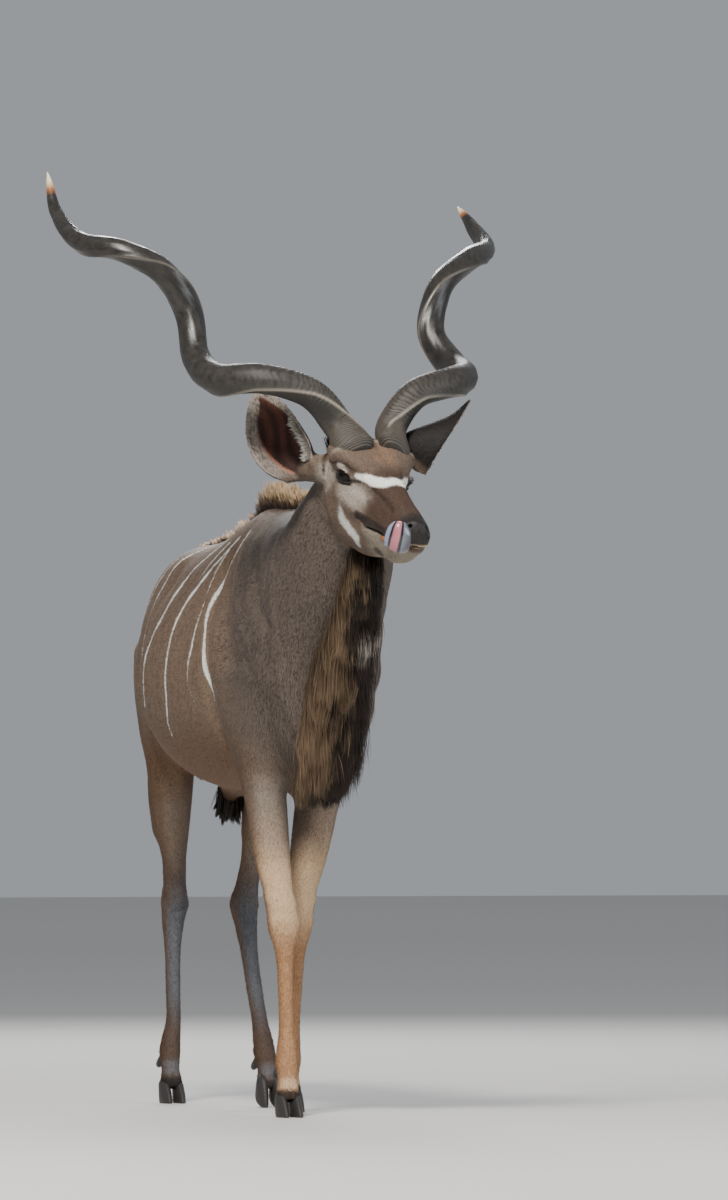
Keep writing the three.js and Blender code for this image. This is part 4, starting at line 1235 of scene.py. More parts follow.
# Hooves and dewclaws. The left hindfoot stands on the toes of its hooves.
FEET = {
    "fore_right": {"place": (-60, 0, 0), "pitch": 0, "fetlock": (-57, 31, 122)},
    "fore_left": {"place": (40, 360, 0), "pitch": 0, "fetlock": (37, 356, 122)},
    "hind_right": {"place": (-66, 1060, 0), "pitch": 0, "fetlock": (-63, 1094, 120)},
    "hind_left": {"place": (78, 706, 14), "pitch": 24, "fetlock": (85, 762, 122)},
}
# Level above the sole, middle, half length and half width.
CLAW = [
    [0, -8, 38, 14], [4, -7, 38.6, 14.8], [10, -5, 38, 15], [30, 3, 32, 14.5], [50, 12, 22, 12],
    [58, 15, 15, 8],
]
CLAW_LEVELS = np.concatenate([[0, 0.6, 1.6], np.linspace(3, 58, 34)])
CLAW_SPREAD = 16
CLAW_SIDES, DEWCLAW_SIDES = 40, 16
# From the fetlock: how far out, back and up each section lies, and its half width.
DEWCLAW = [[12, 14, -6, 7.5], [14, 20, -14, 9], [16, 33, -25, 9], [17, 41, -31, 6.5], [17, 45, -35, 2]]


def claw_mesh(foot, side):
    section = Curve(CLAW)
    angles = np.linspace(0, 2 * np.pi, CLAW_SIDES, endpoint=False)
    forward = np.cos(angles)
    narrow = 1 - 0.34 * np.maximum(forward, 0) ** 1.5
    squash = 1 - 0.12 * (np.sin(angles) * -side > 0)
    rings = []
    for z in CLAW_LEVELS:
        middle, length, width = section(z)
        inset = 1.2 * np.exp(-z / 1.0)
        ridge = 0.35 * np.sin(z * 0.9 + 0.5 * np.cos(angles)) * fade(3, 10, z) * fade(55, 45, z)
        x = side * CLAW_SPREAD + (width - inset + ridge) * narrow * squash * np.sin(angles)
        y = middle - (length - inset + ridge) * np.sign(forward) * np.abs(forward) ** 0.94
        rings.append(vectors(x, y, z))
    points, faces = tube(rings)
    points = points @ turn("X", FEET[foot]["pitch"]).T + FEET[foot]["place"]
    points[:, 2] = np.maximum(points[:, 2], 0)
    return points * MM, faces


def dewclaw_mesh(foot, side):
    line = Curve([[i, *row] for i, row in enumerate(DEWCLAW)])
    angles = np.linspace(0, 2 * np.pi, DEWCLAW_SIDES, endpoint=False)
    x, y, z = FEET[foot]["fetlock"]
    rings = []
    for out, back, up, size in line(np.linspace(0, len(DEWCLAW) - 1, 18)):
        rings.append(vectors(
            x + side * out + size * np.cos(angles),
            y + back + size * 0.6 * np.sin(angles),
            z + up + size * 0.8 * np.sin(angles),
        ))
    points, faces = tube(rings)
    return points * MM, faces


hooves = []
for foot, facts in FEET.items():
    outer = np.sign(facts["place"][0])
    for name, side in (("inner", -outer), ("outer", outer)):
        for kind, make in (("hoof", claw_mesh), ("dewclaw", dewclaw_mesh)):
            piece = new_object(f"{kind}_{foot}_{name}_horn", *make(foot, side))
            declare(piece, "hoof", f"{kind}_{foot}_{name}")
            hooves.append(piece)


# Tongue: x, y, z, half width and half thickness in the head's frame, from within the mouth.
TONGUE = [
    [-14, -196, -37, 18, 5], [-25, -222, -41, 22, 6], [-37, -247, -44, 27, 6], [-43, -258, -36, 29, 6.5],
    [-46, -260, -23, 30, 6.5], [-47, -258, -7, 29, 6], [-46, -251, 7, 25, 5.5], [-43, -243, 16, 17, 4.5],
]
TONGUE_BOW = 6.5                    # its middle stands this far out from its edges
TONGUE_SIDEWAYS = np.array([0.82, -0.57, 0])
TONGUE_GROOVES, GROOVE_DEPTH, GROOVE_WIDTH = (0.25, -0.55), 0.9, 0.1
TONGUE_RINGS, TONGUE_SIDES = 90, 48


def tongue_mesh():
    line = Curve([[i, *row] for i, row in enumerate(TONGUE)])
    rows = line(np.linspace(0, len(TONGUE) - 1, TONGUE_RINGS))
    onward = unit(np.gradient(rows[:, :3], axis=0))
    angles = np.linspace(0, 2 * np.pi, TONGUE_SIDES, endpoint=False)
    sideways, upward = np.cos(angles), np.sin(angles)
    groove = sum(GROOVE_DEPTH * np.exp(-((sideways - at) / GROOVE_WIDTH) ** 2) for at in TONGUE_GROOVES)
    rings = []
    for (x, y, z, across, depth), way in zip(rows, onward):
        side = square_to(TONGUE_SIDEWAYS, way)
        bow = -TONGUE_BOW * fade(0.2, 0.8, way[2]) * (1 - sideways ** 2 * 1.6)
        radial = np.sign(upward) * (np.abs(upward) ** 0.8 * depth - groove) + bow
        flat = np.array([x, y, z]) + np.outer(across * sideways, side)
        rings.append(flat + np.outer(radial, np.cross(way, side)))
    points, faces = tube(rings)
    return from_head(points * MM), faces, np.append(np.tile(sideways, TONGUE_RINGS), [0, 0])


tongue_points, tongue_faces, tongue_around = tongue_mesh()
tongue = new_object("tongue_flesh", tongue_points, tongue_faces)
add_value(tongue, tongue_around, "around")
declare(tongue, "tongue", "tongue")


# Coat.
def lie_of(p):
    """Which way the hair lies on each part, before it is smoothed over the skin."""
    way = np.tile([0.0, 0.92, -0.40], (len(p), 1))
    chest = fade(120, -60, p[:, 1] / MM) * fade(1200, 1000, p[:, 2] / MM)
    way = mix(way, np.array([0, 0.15, -1.0]), chest)
    way = mix(way, np.array([0, 0.25, -1.0]), fade(1050, 1200, p[:, 1] / MM))
    way[kind_of == "neck"] = [0, 0.72, -0.69]
    way[on_leg] = [0, 0.12, -1.0]
    way[on_head] = HEAD_TURN @ [0, 1.0, -0.05]
    for name, ear in EARS.items():
        way[part_of == name] = HEAD_TURN @ ear_frame(ear)[2]
    way[np.isin(kind_of, ["tail", "scrotum"])] = [0, 0.05, -1.0]
    return way


def spread(values, rounds):
    """Values of the skin's points, each made the mean of its neighbours', many times over."""
    values = values if values.ndim > 1 else values[:, None]
    a = np.concatenate([edges[:, 0], edges[:, 1]])
    b = np.concatenate([edges[:, 1], edges[:, 0]])
    count = np.bincount(a, minlength=len(values))[:, None]
    for _ in range(rounds):
        values = np.column_stack([np.bincount(a, column[b], len(values)) for column in values.T]) / count
    return values.squeeze()


NO_STRIPE = 99.0


def stripe_distance(p):
    """Distance outside the nearest white line of the flank, in mm; negative inside it."""
    best = np.full(len(p), NO_STRIPE)
    for strength, half, *places in STRIPES:
        line = Curve([[i, *place] for i, place in enumerate(places)], 24).rows
        for side in (-1, 1):
            mine = (p[:, 0] * side > 0) & (np.abs(p[:, 1] / MM - line[:, 0].mean()) < 260)
            y, z = p[mine, 1:].T / MM
            wander = 5 * np.sin(z / 47 + side + half) + 3 * np.sin(z / 19 + 2 * half)
            d = from_line(vectors(y + (wander + 6 * (side > 0)), z, 0), vectors(*line.T, 0))
            ends = fade(line[-1, 1] - 10, line[-1, 1] + 90, z)
            wide = half * (0.35 + 0.65 * ends) * (0.85 + 0.3 * np.sin(z / 31 + half))
            best[mine] = np.minimum(best[mine], d - wide + (1 - strength) * 2.5)
    return best


x_mm, y_mm, z_mm = (skin_points / MM).T
head_q = to_head(skin_points) / MM
on_head, on_ear = kind_of == "head", kind_of == "ear"
on_leg = np.isin(kind_of, ["foreleg", "hindleg"])
on_body = np.isin(kind_of, ["trunk", "neck"])
lie = unit(spread(lie_of(skin_points), 30))
lie = unit(lie - skin_normal * (lie * skin_normal).sum(1)[:, None])
skin_stripe = np.where(kind_of == "trunk", stripe_distance(skin_points), NO_STRIPE)
add_value(skin, skin_stripe, "stripe")
skin_grizzle = 1.0 + 0.35 * (fade(330, 120, y_mm) * fade(800, 950, z_mm)) * on_body

skin.data.calc_loop_triangles()
triangles = np.empty(len(skin.data.loop_triangles) * 3, np.int32)
skin.data.loop_triangles.foreach_get("vertices", triangles)
triangles = triangles.reshape(-1, 3)
corner_a, corner_b, corner_c = (skin_points[triangles[:, i]] for i in range(3))
triangle_area = np.linalg.norm(np.cross(corner_b - corner_a, corner_c - corner_a), axis=1) / 2
PATCH = 0.003                       # the size of a tuft's patch on the map


def sow(per_square_metre, mask):
    """Places on the skin chosen at random, as three corners and their shares."""
    weight = triangle_area * mask[triangles].mean(1) * per_square_metre * 1
    count = int(weight.sum())
    chosen = np.searchsorted(np.cumsum(weight), random.uniform(0, weight.sum(), count))
    chosen = np.minimum(chosen, len(triangles) - 1)
    a, b = np.sqrt(random.uniform(0, 1, count)), random.uniform(0, 1, count)
    shares = np.column_stack([1 - a, a * (1 - b), a * b])
    return triangles[chosen], shares


def at(values, corners, shares):
    return (values[corners] * shares[(...,) + (None,) * (values.ndim - 1)]).sum(1)


def ribbons(name, slot, centre, side, width, colour, root_normal, chart, nodes=()):
    """One mesh of thin blades, pointed at both ends: centre lines (n, k, 3) from root to tip."""
    count, rows = centre.shape[:2]
    outward = np.cross(centre[:, rows // 2] - centre[:, 0], side)
    side = side * np.sign((outward * root_normal).sum(1) + 1e-12)[:, None]
    half = side[:, None] * width[..., None] / 2
    pairs = np.stack([centre[:, 1:-1] - half, centre[:, 1:-1] + half], 2).reshape(count, -1, 3)
    points = np.concatenate([centre[:, :1], pairs, centre[:, -1:]], 1)
    each = points.shape[1]
    start = (np.arange(count) * each)[:, None]
    quads = [start + [2 * k - 1, 2 * k + 1, 2 * k + 2, 2 * k] for k in range(1, rows - 2)]
    loops = np.concatenate([start + [0, 1, 2], *quads, start + [each - 3, each - 1, each - 2]], 1)
    sizes = np.tile([3] + [4] * (rows - 3) + [3], count)
    mesh = bpy.data.meshes.new(name)
    mesh.vertices.add(count * each)
    mesh.vertices.foreach_set("co", (points.reshape(-1, 3) + SHIFT).ravel())
    mesh.loops.add(loops.size)
    mesh.loops.foreach_set("vertex_index", loops.astype(np.int32).ravel())
    mesh.polygons.add(len(sizes))
    mesh.polygons.foreach_set("loop_start", np.concatenate([[0], np.cumsum(sizes)[:-1]]))
    mesh.update(calc_edges=True)
    mesh.polygons.foreach_set("use_smooth", [True] * len(sizes))
    row_of = np.repeat(np.arange(rows), [1] + [2] * (rows - 2) + [1])
    add_colour(mesh, np.clip(colour[:, row_of], 0, 1).reshape(-1, 3))
    across = np.concatenate([[0], np.tile([-0.5, 0.5], rows - 2), [0]])
    patch = pack_charts(*chart)[:, None]
    patch = patch + np.column_stack([across, row_of / (rows - 1) - 0.5]) * PATCH
    layer = mesh.uv_layers.new(name="OFBake")
    layer.data.foreach_set("uv", patch.reshape(-1, 2)[loops.ravel()].ravel())
    flat_normal = unit(np.cross(np.diff(centre, axis=1), side[:, None]))
    soft = unit(flat_normal * 0.45 + root_normal[:, None] * 0.55)[:, np.minimum(row_of, rows - 2)]
    mesh.normals_split_custom_set_from_vertices(soft.reshape(-1, 3).tolist())
    piece = bpy.data.objects.new(name, mesh)
    scene.collection.objects.link(piece)
    declare(piece, slot, *nodes)
    return piece


TUFT_SWING = 0.22                   # how far a tuft strays to either side, in radians
DARK_TUFTS = 0.32                   # the share of the tufts that are darker than the skin below
ROOT_DEPTH = 0.0008


def short_coat(name, mask, per_square_metre, rise):
    """Short tufts that lie along the skin."""
    corners, shares = sow(per_square_metre, mask)
    root = at(skin_points, corners, shares)
    normal = unit(at(skin_normal, corners, shares))
    way = unit(at(lie, corners, shares))
    count = len(root)
    length = at(tuft_length, corners, shares) * MM * random.uniform(0.7, 1.3, count)
    swing = random.normal(0, TUFT_SWING, count)
    side = unit(np.cross(normal, way))
    way = unit(way * np.cos(swing)[:, None] + side * np.sin(swing)[:, None])
    side = unit(np.cross(normal, way))
    lift = np.abs(random.normal(rise, rise * 0.35, count))[:, None]
    step = length[:, None] / 2
    middle = root + step * (way * np.cos(lift) + normal * np.sin(lift))
    tip = middle + step * (way * np.cos(lift * 0.3) + normal * np.sin(lift * 0.3))
    centre = np.stack([root - normal * ROOT_DEPTH, middle, tip], 1)
    base = at(skin_colour, corners, shares)
    striped = at(skin_stripe, corners, shares) < 50
    white = striped & (stripe_distance(middle) + random.normal(0, 0.7, count) < 0)
    contrast = at(skin_grizzle, corners, shares)
    darker = random.uniform(0, 1, count) < DARK_TUFTS
    grizzle = np.where(darker, -0.30, 0.10) + random.uniform(-0.12, 0.12, count)
    grizzle = 1 + grizzle * contrast * (1 - 0.5 * (base.mean(1) > 0.4))
    base = base * grizzle[:, None]
    base = np.where(white[:, None], WHITE * random.uniform(0.82, 1.0, count)[:, None], base)
    colour = np.stack([base * 0.85, base, base * 1.10], 1)
    widths = (at(tuft_width, corners, shares) * MM * random.uniform(0.75, 1.25, count))[:, None]
    chart = charts(root, normal, skin_owner[corners[:, 0]])
    return ribbons(name, "coat", centre, side, widths, colour, normal, chart)


def long_hair(name, planted, first, target, length, width, tones, nodes=(), clump=0.03, wave=0.1,
              gather=0.65, curl=0.0):
    """Locks that leave along first and bend towards target; tones are those of root, middle and tip."""
    roots, normal = planted
    count, rows = len(roots), 5
    cells = np.floor(roots / clump + random.uniform(0, 1, 3)).astype(int)
    group = np.unique(cells, axis=0, return_inverse=True)[1].ravel()
    groups = group.max() + 1
    swerve = random.normal(0, wave, (groups, 3))[group] + random.normal(0, wave * 0.5, (count, 3))
    stretch = random.uniform(0.75, 1.15, groups)[group] * random.uniform(0.8, 1.1, count) * length
    share = np.linspace(0, 1, rows)
    spot = roots - normal * 0.001
    centre = [spot]
    phase = random.uniform(0, 6.28, groups)[group][:, None]
    for k in range(1, rows):
        bend = fade(-0.1, 0.75, share[k])
        swing = mix(1.0, 1.6 * np.cos(5 * share[k] + phase), curl)
        way = unit(mix(first, target, bend) + swerve * share[k] * swing)
        spot = spot + way * (stretch / (rows - 1))[:, None]
        centre.append(spot)
    centre = np.stack(centre, 1)
    middle = np.zeros((groups, rows, 3))
    np.add.at(middle, group, centre)
    middle /= np.bincount(group)[:, None, None]
    centre = centre + (middle[group] - centre) * (gather * share ** 1.3)[None, :, None]
    side = unit(np.cross(normal, centre[:, 2] - centre[:, 0]) + random.normal(0, 0.35, (count, 3)))
    widths = (width * MM * random.uniform(0.7, 1.3, count))[:, None] * np.array([1, 0.95, 0.7])
    tones = np.asarray(tones)
    stages = np.stack([
        mix(tones[..., 0, :], tones[..., 1, :], s * 2) if s < 0.5
        else mix(tones[..., 1, :], tones[..., 2, :], s * 2 - 1) for s in share
    ], -2)
    stages = stages * random.uniform(0.75, 1.25, count)[:, None, None]
    chart = charts(roots, normal, np.zeros(count, int))
    hair_pieces.append(ribbons(name, "hair", centre, side, widths, stages, normal, chart, nodes))


# The short coat: how long and wide its tufts are, in mm, and where the skin is bare.
tuft_width = np.select([on_head, on_ear, on_leg], [1.1, 1.1, 1.4], 1.6)
tuft_length = np.select([on_head, on_ear, on_leg], [6.0, 6.0, 8.5], 11.5)
tuft_length = np.where(np.abs(skin_stripe) < 22, 7.5, tuft_length)
tuft_length = mix(tuft_length, 3.0, fade(-120, -240, head_q[:, 1]) * on_head)
tuft_length = mix(tuft_length, 7.0, fade(200, 60, z_mm) * on_leg)
tuft_length = spread(tuft_length, 4)
bare = on_head & (head_q[:, 1] < -229) & (head_q[:, 2] > -22) & (np.abs(head_q[:, 0]) < 44)
for side in EYE_PLACE:
    _, _, out, outside = eye_places(to_head(skin_points), side)
    bare |= on_head & (out > 0) & (outside < 2.2)
add_value(skin, spread(bare.astype(float), 2), "wet")
in_mouth = on_head & (np.abs(head_q[:, 2] - lip_level(head_q[:, 1])) < 4) & (head_q[:, 1] < MOUTH["back"])
haired = (~bare & ~in_mouth) * np.where(on_leg, fade(44, 54, z_mm), 1.0)
on_trunk = np.isin(kind_of, ["trunk", "tail", "scrotum"])
on_right, on_chest = x_mm < 0, y_mm < 480
# Each piece of the coat: where it grows, its tufts for each square metre and how far they rise.
PATCHES = {
    "coat_chest_right": (on_trunk & on_right & on_chest, 128000, 0.24),
    "coat_chest_left": (on_trunk & ~on_right & on_chest, 112000, 0.24),
    "coat_flank_right": (on_trunk & on_right & ~on_chest, 125000, 0.22),
    "coat_flank_left": (on_trunk & ~on_right & ~on_chest, 108000, 0.22),
    "coat_neck": (kind_of == "neck", 165000, 0.24),
    "coat_head": (on_head, 380000, 0.22),
    "coat_ears": (on_ear, 200000, 0.24),
    "coat_forelegs": (kind_of == "foreleg", 155000, 0.20),
    "coat_hindlegs": (kind_of == "hindleg", 120000, 0.20),
}
coat_pieces = [
    short_coat(name, where * haired, dense, rise)
    for name, (where, dense, rise) in PATCHES.items()
]


# Long hair.
TAN_TIP = shade_of(196, 169, 132)
MANE_DARK = shade_of(44, 34, 28)
MANE_BROWN = shade_of(98, 79, 60)
FRINGE_TIP = shade_of(134, 111, 86)
BLACKISH = shade_of(30, 25, 22)
hair_pieces = []
on_ridge = on_body & (skin_normal[:, 2] > 0.2)


def plant(mask, per_square_metre):
    """Roots of long hair, and the way out of the skin at each."""
    corners, shares = sow(per_square_metre, mask)
    return at(skin_points, corners, shares), unit(at(skin_normal, corners, shares))


def mane_half(y):
    return np.interp(y, [-260, -150, 250, 380, 470, 520], [10, 18, 28, 26, 14, 4])


def mane():
    """Upright hair along the nape and withers, fair in the middle and dark at its sides."""
    mask = on_ridge * fade(1, 0.6, np.abs(x_mm) / mane_half(y_mm)) * (y_mm < 500)
    planted = roots, _ = plant(mask, 620000)
    y, count = roots[:, 1] / MM, len(roots)
    aside = np.abs(roots[:, 0]) / MM / mane_half(y)
    places = [-250, -100, 20, 150, 250, 310, 370, 430, 500]
    length = np.interp(y, places, [40, 44, 42, 52, 64, 70, 68, 54, 34])
    length = length * MM * (1 - 0.45 * fade(0.5, 0.9, aside)) * random.uniform(0.8, 1.08, count)
    lean = roots[:, 0] / 0.03
    rough = random.normal(0, 0.14, (count, 3))
    backward = fade(260, 460, y)
    first = unit(vectors(lean * 0.25, -0.08 + 0.7 * backward, 1) + rough)
    target = unit(vectors(lean * 0.45, 0.2 + 0.8 * backward, 0.95) + rough)
    dark = (aside + 0.35 * backward > random.uniform(0.55, 0.85, count))[:, None, None]
    tones = np.where(dark, (BLACKISH, MANE_DARK, MANE_BROWN), (MANE_DARK, MANE_BROWN * 1.3, TAN_TIP))
    long_hair("mane_locks", planted, first, target, length, 1.3, tones, ["nape_mane"], clump=0.009)


def crest():
    """Short banded hair along the spine, behind the mane."""
    half = np.interp(y_mm, [460, 560, 900, 1080], [12, 14, 11, 4])
    mask = on_ridge * fade(1, 0.6, np.abs(x_mm) / half) * (y_mm > 470) * (y_mm < 1080)
    planted = roots, _ = plant(mask, 700000)
    y = roots[:, 1] / MM
    length = np.interp(y, [460, 560, 700, 900, 1080], [42, 40, 32, 22, 12]) * MM
    first = unit(vectors(roots[:, 0] / 0.06, 0.3, 1))
    target = unit(vectors(roots[:, 0] / 0.05, 0.9, 0.7))
    pale = (np.sin(y / 21) + random.normal(0, 0.5, len(y)) > 0.1)[:, None, None]
    tones = np.where(pale, (MANE_BROWN, TAN_TIP, CREAM), (BLACKISH, MANE_DARK, TAN))
    long_hair("crest_locks", planted, first, target, length, 1.5, tones, ["spine_crest"],
              clump=0.010, wave=0.12)


FRINGE_LEVELS = [800, 850, 920, 1010, 1100, 1180, 1300, 1340]
FRINGE_MIDDLE = [2, 2, 0, -2, 2, 12, 14, 14]
FRINGE_HALF = [46, 54, 60, 60, 54, 48, 40, 28]
WHITE_BAND = 1036                   # the level of the white tips across the fringe's left side
BANDED_SIDE, BANDED_LEVEL = (34, 26), (1165, 35)      # where their roots lie: middle and reach
BANDED_SHARE = 0.35


def fringe():
    """Long hair down the throat and chest, brown at its right side and black at its left."""
    facing_down = fade(0.15, 0.55, skin_normal @ unit(np.array([0, -0.85, -0.5])))
    mask = on_body * facing_down * (y_mm < 60) * (z_mm < 1335) * (z_mm > 800)
    aside = np.abs(x_mm - np.interp(z_mm, FRINGE_LEVELS, FRINGE_MIDDLE))
    mask = mask * fade(1.0, 0.75, aside / np.interp(z_mm, FRINGE_LEVELS, FRINGE_HALF))
    planted = roots, _ = plant(mask, 500000)
    x, _, z = (roots / MM).T
    count = len(x)
    length = np.interp(z, [800, 850, 920, 1000, 1100, 1200, 1300], [95, 125, 165, 180, 165, 130, 80]) * MM
    sideways = (x - np.interp(z, FRINGE_LEVELS, FRINGE_MIDDLE)) / 60
    rough = random.normal(0, 0.08, (count, 3))
    first = unit(vectors(sideways * 0.25, -0.8, -0.6) + rough)
    target = unit(vectors(sideways * 0.05, 0, -1) + rough)
    patchy = 0.5 * np.sin(x / 9 + z / 37) + 0.4 * np.sin(x / 5 - z / 23) + random.normal(0, 0.35, count)
    border = np.interp(z, [800, 900, 1000, 1120, 1200, 1320], [-34, -14, -4, -6, -14, 0])
    dark = (patchy + (x - border) / 26 > 0.15)[:, None, None]
    brown = np.array([MANE_BROWN * 0.5, MANE_BROWN * 0.7, FRINGE_TIP])
    brown = brown * random.uniform(0.75, 1.1, count)[:, None, None]
    tones = np.where(dark, (BLACKISH, BLACKISH, MANE_DARK * 1.3), brown)
    banded = random.uniform(0, 1, count) < BANDED_SHARE
    for place, (middle, reach) in ((x, BANDED_SIDE), (z, BANDED_LEVEL)):
        banded &= np.abs(place - middle) < reach
    tones = np.where(banded[:, None, None], (BLACKISH, MANE_DARK, CHEEK * 1.4), tones)
    length = np.where(banded, (z - WHITE_BAND) * MM, length)
    long_hair("fringe_locks", planted, first, target, length, 1.4, tones, ["throat_fringe"],
              clump=0.013, wave=0.16, gather=0.55, curl=0.8)


def tail_tuft():
    planted = roots, normal = plant((kind_of == "tail") * fade(985, 930, z_mm), 620000)
    length = np.interp(roots[:, 2] / MM, [880, 990], [125, 95]) * MM
    target = unit(np.array([0, -0.04, -1.0]))
    long_hair("tail_locks", planted, unit(normal * 0.5 + [0, 0, -1]), target, length, 1.8,
              (MANE_DARK, BLACKISH, BLACKISH), ["tail_tuft"], clump=0.02, wave=0.12, curl=0.6)


def sheath_tuft():
    planted = _, normal = plant((kind_of == "scrotum") * fade(735, 760, y_mm) * fade(900, 850, y_mm), 500000)
    target = unit(np.array([0, 0.35, -1.0]))
    long_hair("sheath_locks", planted, unit(normal * 0.5 + [0, 0.2, -1]), target, 62 * MM, 1.6,
              (MANE_DARK, BLACKISH, MANE_DARK), ["sheath_tuft"], clump=0.012, wave=0.2)


def lashes(name, side):
    """Stiff dark lashes along the front of the upper lid."""
    outward, forward, up = eye_axes(side)
    u = random.uniform(-10, 19, 90)
    h = almond(u, OPENING["upper"])[0] + 0.8
    out = np.sqrt(np.maximum((EYE_RADIUS + LID) ** 2 - u ** 2 - h ** 2, 1))
    local = np.outer(u, forward) + np.outer(h, up) + np.outer(out, outward)
    away = unit(local * 0.4 + np.outer(u * 0.6, forward) + outward * 22) @ HEAD_TURN.T
    planted = from_head((EYE_PLACE[side] + local) * MM), away
    first = unit(away - HEAD_TURN @ up * 0.25)
    target = unit(away + HEAD_TURN @ up * 0.15)
    length = random.uniform(5, 11, len(u)) * MM
    long_hair(name, planted, first, target, length, 0.7, [BLACKISH] * 3, clump=0.003, wave=0.12)


EAR_ROOT_PLACE = (78, 88, 34)
EAR_ROOT_REACH = (26, 34, 30)


def ear_hair(name, ear):
    """Pale hair from the inner rim across the ear's opening, and dark locks behind its root."""
    aside = np.sign(ear["root"][0])
    _, _, long, across, face = ear_frame(ear)
    t, s, height, half, _ = ear_places(ear, to_head(skin_points))
    edge = half - np.abs(s)
    rim = (part_of == name) & (height > 0) & (s * aside < 0)
    rim &= (edge < 0.013) & (edge > 0.003) & (t > 0.06) & (t < 0.62)
    rim &= skin_normal @ (HEAD_TURN @ face) > -0.2
    planted = roots, _ = plant(rim, 1100000)
    t, s, *_ = ear_places(ear, to_head(roots))
    way = -np.sign(s)[:, None] * (HEAD_TURN @ across)
    first = unit(way * 0.7 + HEAD_TURN @ face * 0.6 + HEAD_TURN @ long * 0.35)
    target = unit(way + HEAD_TURN @ long * 0.5)
    length = 24 * MM * random.uniform(0.4, 1.1, len(roots)) * fade(0.62, 0.45, t)
    long_hair(f"{name}_fringe", planted, first, target, length, 0.6, (CHEEK * 0.5, CHEEK * 0.8, WHITE * 0.8),
              clump=0.004, wave=0.16, gather=0.4)
    behind = blob(head_q * [aside, 1, 1], EAR_ROOT_PLACE, EAR_ROOT_REACH)
    planted = roots, normal = plant(on_head * behind, 260000)
    upward = HEAD_TURN @ unit(np.array([0.75 * aside, 0.1, 0.65]))
    length = 34 * MM * random.uniform(0.6, 1.1, len(roots))
    long_hair(f"{name}_root_locks", planted, unit(normal * 0.5 + upward), upward, length, 1.3,
              (BLACKISH, BLACKISH, MANE_DARK), clump=0.010, wave=0.15)


mane()
crest()
fringe()
tail_tuft()
sheath_tuft()
lashes("lashes_right", -1)
lashes("lashes_left", 1)
for name, ear in EARS.items():
    ear_hair(name, ear)


# Materials.
class Finish:
    """A material, with short ways to add and join its nodes."""

    def __init__(self, name, **constants):
        self.material = bpy.data.materials.new(name)
        self.material.use_nodes = True
        self.tree = self.material.node_tree
        self.shader = self.tree.nodes["Principled BSDF"]
        for socket, value in constants.items():
            self.shader.inputs[socket.replace("_", " ")].default_value = value

    def plug(self, value, socket):
        if isinstance(value, bpy.types.NodeSocket):
            self.tree.links.new(value, socket)
        else:
            socket.default_value = value

    def node(self, kind, inputs, **settings):
        made = self.tree.nodes.new(kind)
        for name, value in settings.items():
            setattr(made, name, value)
        for name, value in inputs.items():
            self.plug(value, made.inputs[name])
        return made

    def blend(self, share, first, second, how="MIX"):
        """The second colour over the first one, by its share."""
        made = self.node("ShaderNodeMix", {}, data_type="RGBA", blend_type=how)
        sockets = {socket.identifier: socket for socket in (*made.inputs, *made.outputs)}
        for name, value in (("Factor_Float", share), ("A_Color", first), ("B_Color", second)):
            self.plug((*value, 1) if isinstance(value, np.ndarray) else value, sockets[name])
        return sockets["Result_Color"]

    def math(self, how, *values):
        return self.node("ShaderNodeMath", dict(enumerate(values)), operation=how).outputs[0]

    def times(self, first, second):
        return self.math("MULTIPLY", first, second)

    def ramp(self, value, *stops):
        made = self.node("ShaderNodeValToRGB", {"Fac": value})
        elements = made.color_ramp.elements
        while len(elements) < len(stops):
            elements.new(0.5)
        for element, (place, tone) in zip(elements, stops):
            element.position = place
            element.color = (*tone, 1) if np.ndim(tone) else (tone, tone, tone, 1)
        return made.outputs["Color"]

    def attribute(self, name, output="Fac"):
        return self.node("ShaderNodeAttribute", {}, attribute_name=name).outputs[output]

    def noise(self, scale, detail=3.0):
        inputs = {"Scale": scale, "Detail": detail, "Roughness": 0.6}
        return self.node("ShaderNodeTexNoise", inputs).outputs["Fac"]

    def bump(self, height, strength, distance):
        made = self.node("ShaderNodeBump", {"Height": height, "Strength": strength, "Distance": distance})
        self.plug(made.outputs["Normal"], self.shader.inputs["Normal"])

    def paint(self, colour, roughness=None):
        self.plug(colour, self.shader.inputs["Base Color"])
        if roughness is not None:
            self.plug(roughness, self.shader.inputs["Roughness"])

    def put_on(self, pieces):
        for piece in pieces:
            piece.data.materials.append(self.material)


def hide_finish():
    """The skin under the coat, with the flank's white lines; it is pebbled and wet where it is bare."""
    finish = Finish("hide", Specular_IOR_Level=0.3)
    fine = finish.noise(260.0)
    speckle = finish.ramp(fine, (0.36, 0.55), (0.62, 1.15))
    tone = finish.blend(1.0, finish.attribute("hide", "Color"), speckle, "MULTIPLY")
    wobble = finish.math("ADD", finish.attribute("stripe"), -1.5)
    ragged = finish.math("MULTIPLY_ADD", fine, 6.0, wobble)
    line = finish.node("ShaderNodeMapRange", {"Value": ragged, "From Min": 3.2, "From Max": 1.4}).outputs[0]
    tone = finish.blend(line, tone, WHITE)
    wet = finish.attribute("wet")
    finish.paint(tone, finish.ramp(wet, (0.0, 0.74), (1.0, 0.36)))
    pebbles = finish.node("ShaderNodeTexVoronoi", {"Scale": 420.0}).outputs["Distance"]
    finish.bump(finish.blend(wet, finish.noise(420.0, 2.0), pebbles), 0.5, 0.0012)
    return finish


def hair_finish(name, roughness, gloss):
    finish = Finish(name, Roughness=roughness, Specular_IOR_Level=gloss)
    finish.paint(finish.attribute("hide", "Color"))
    return finish


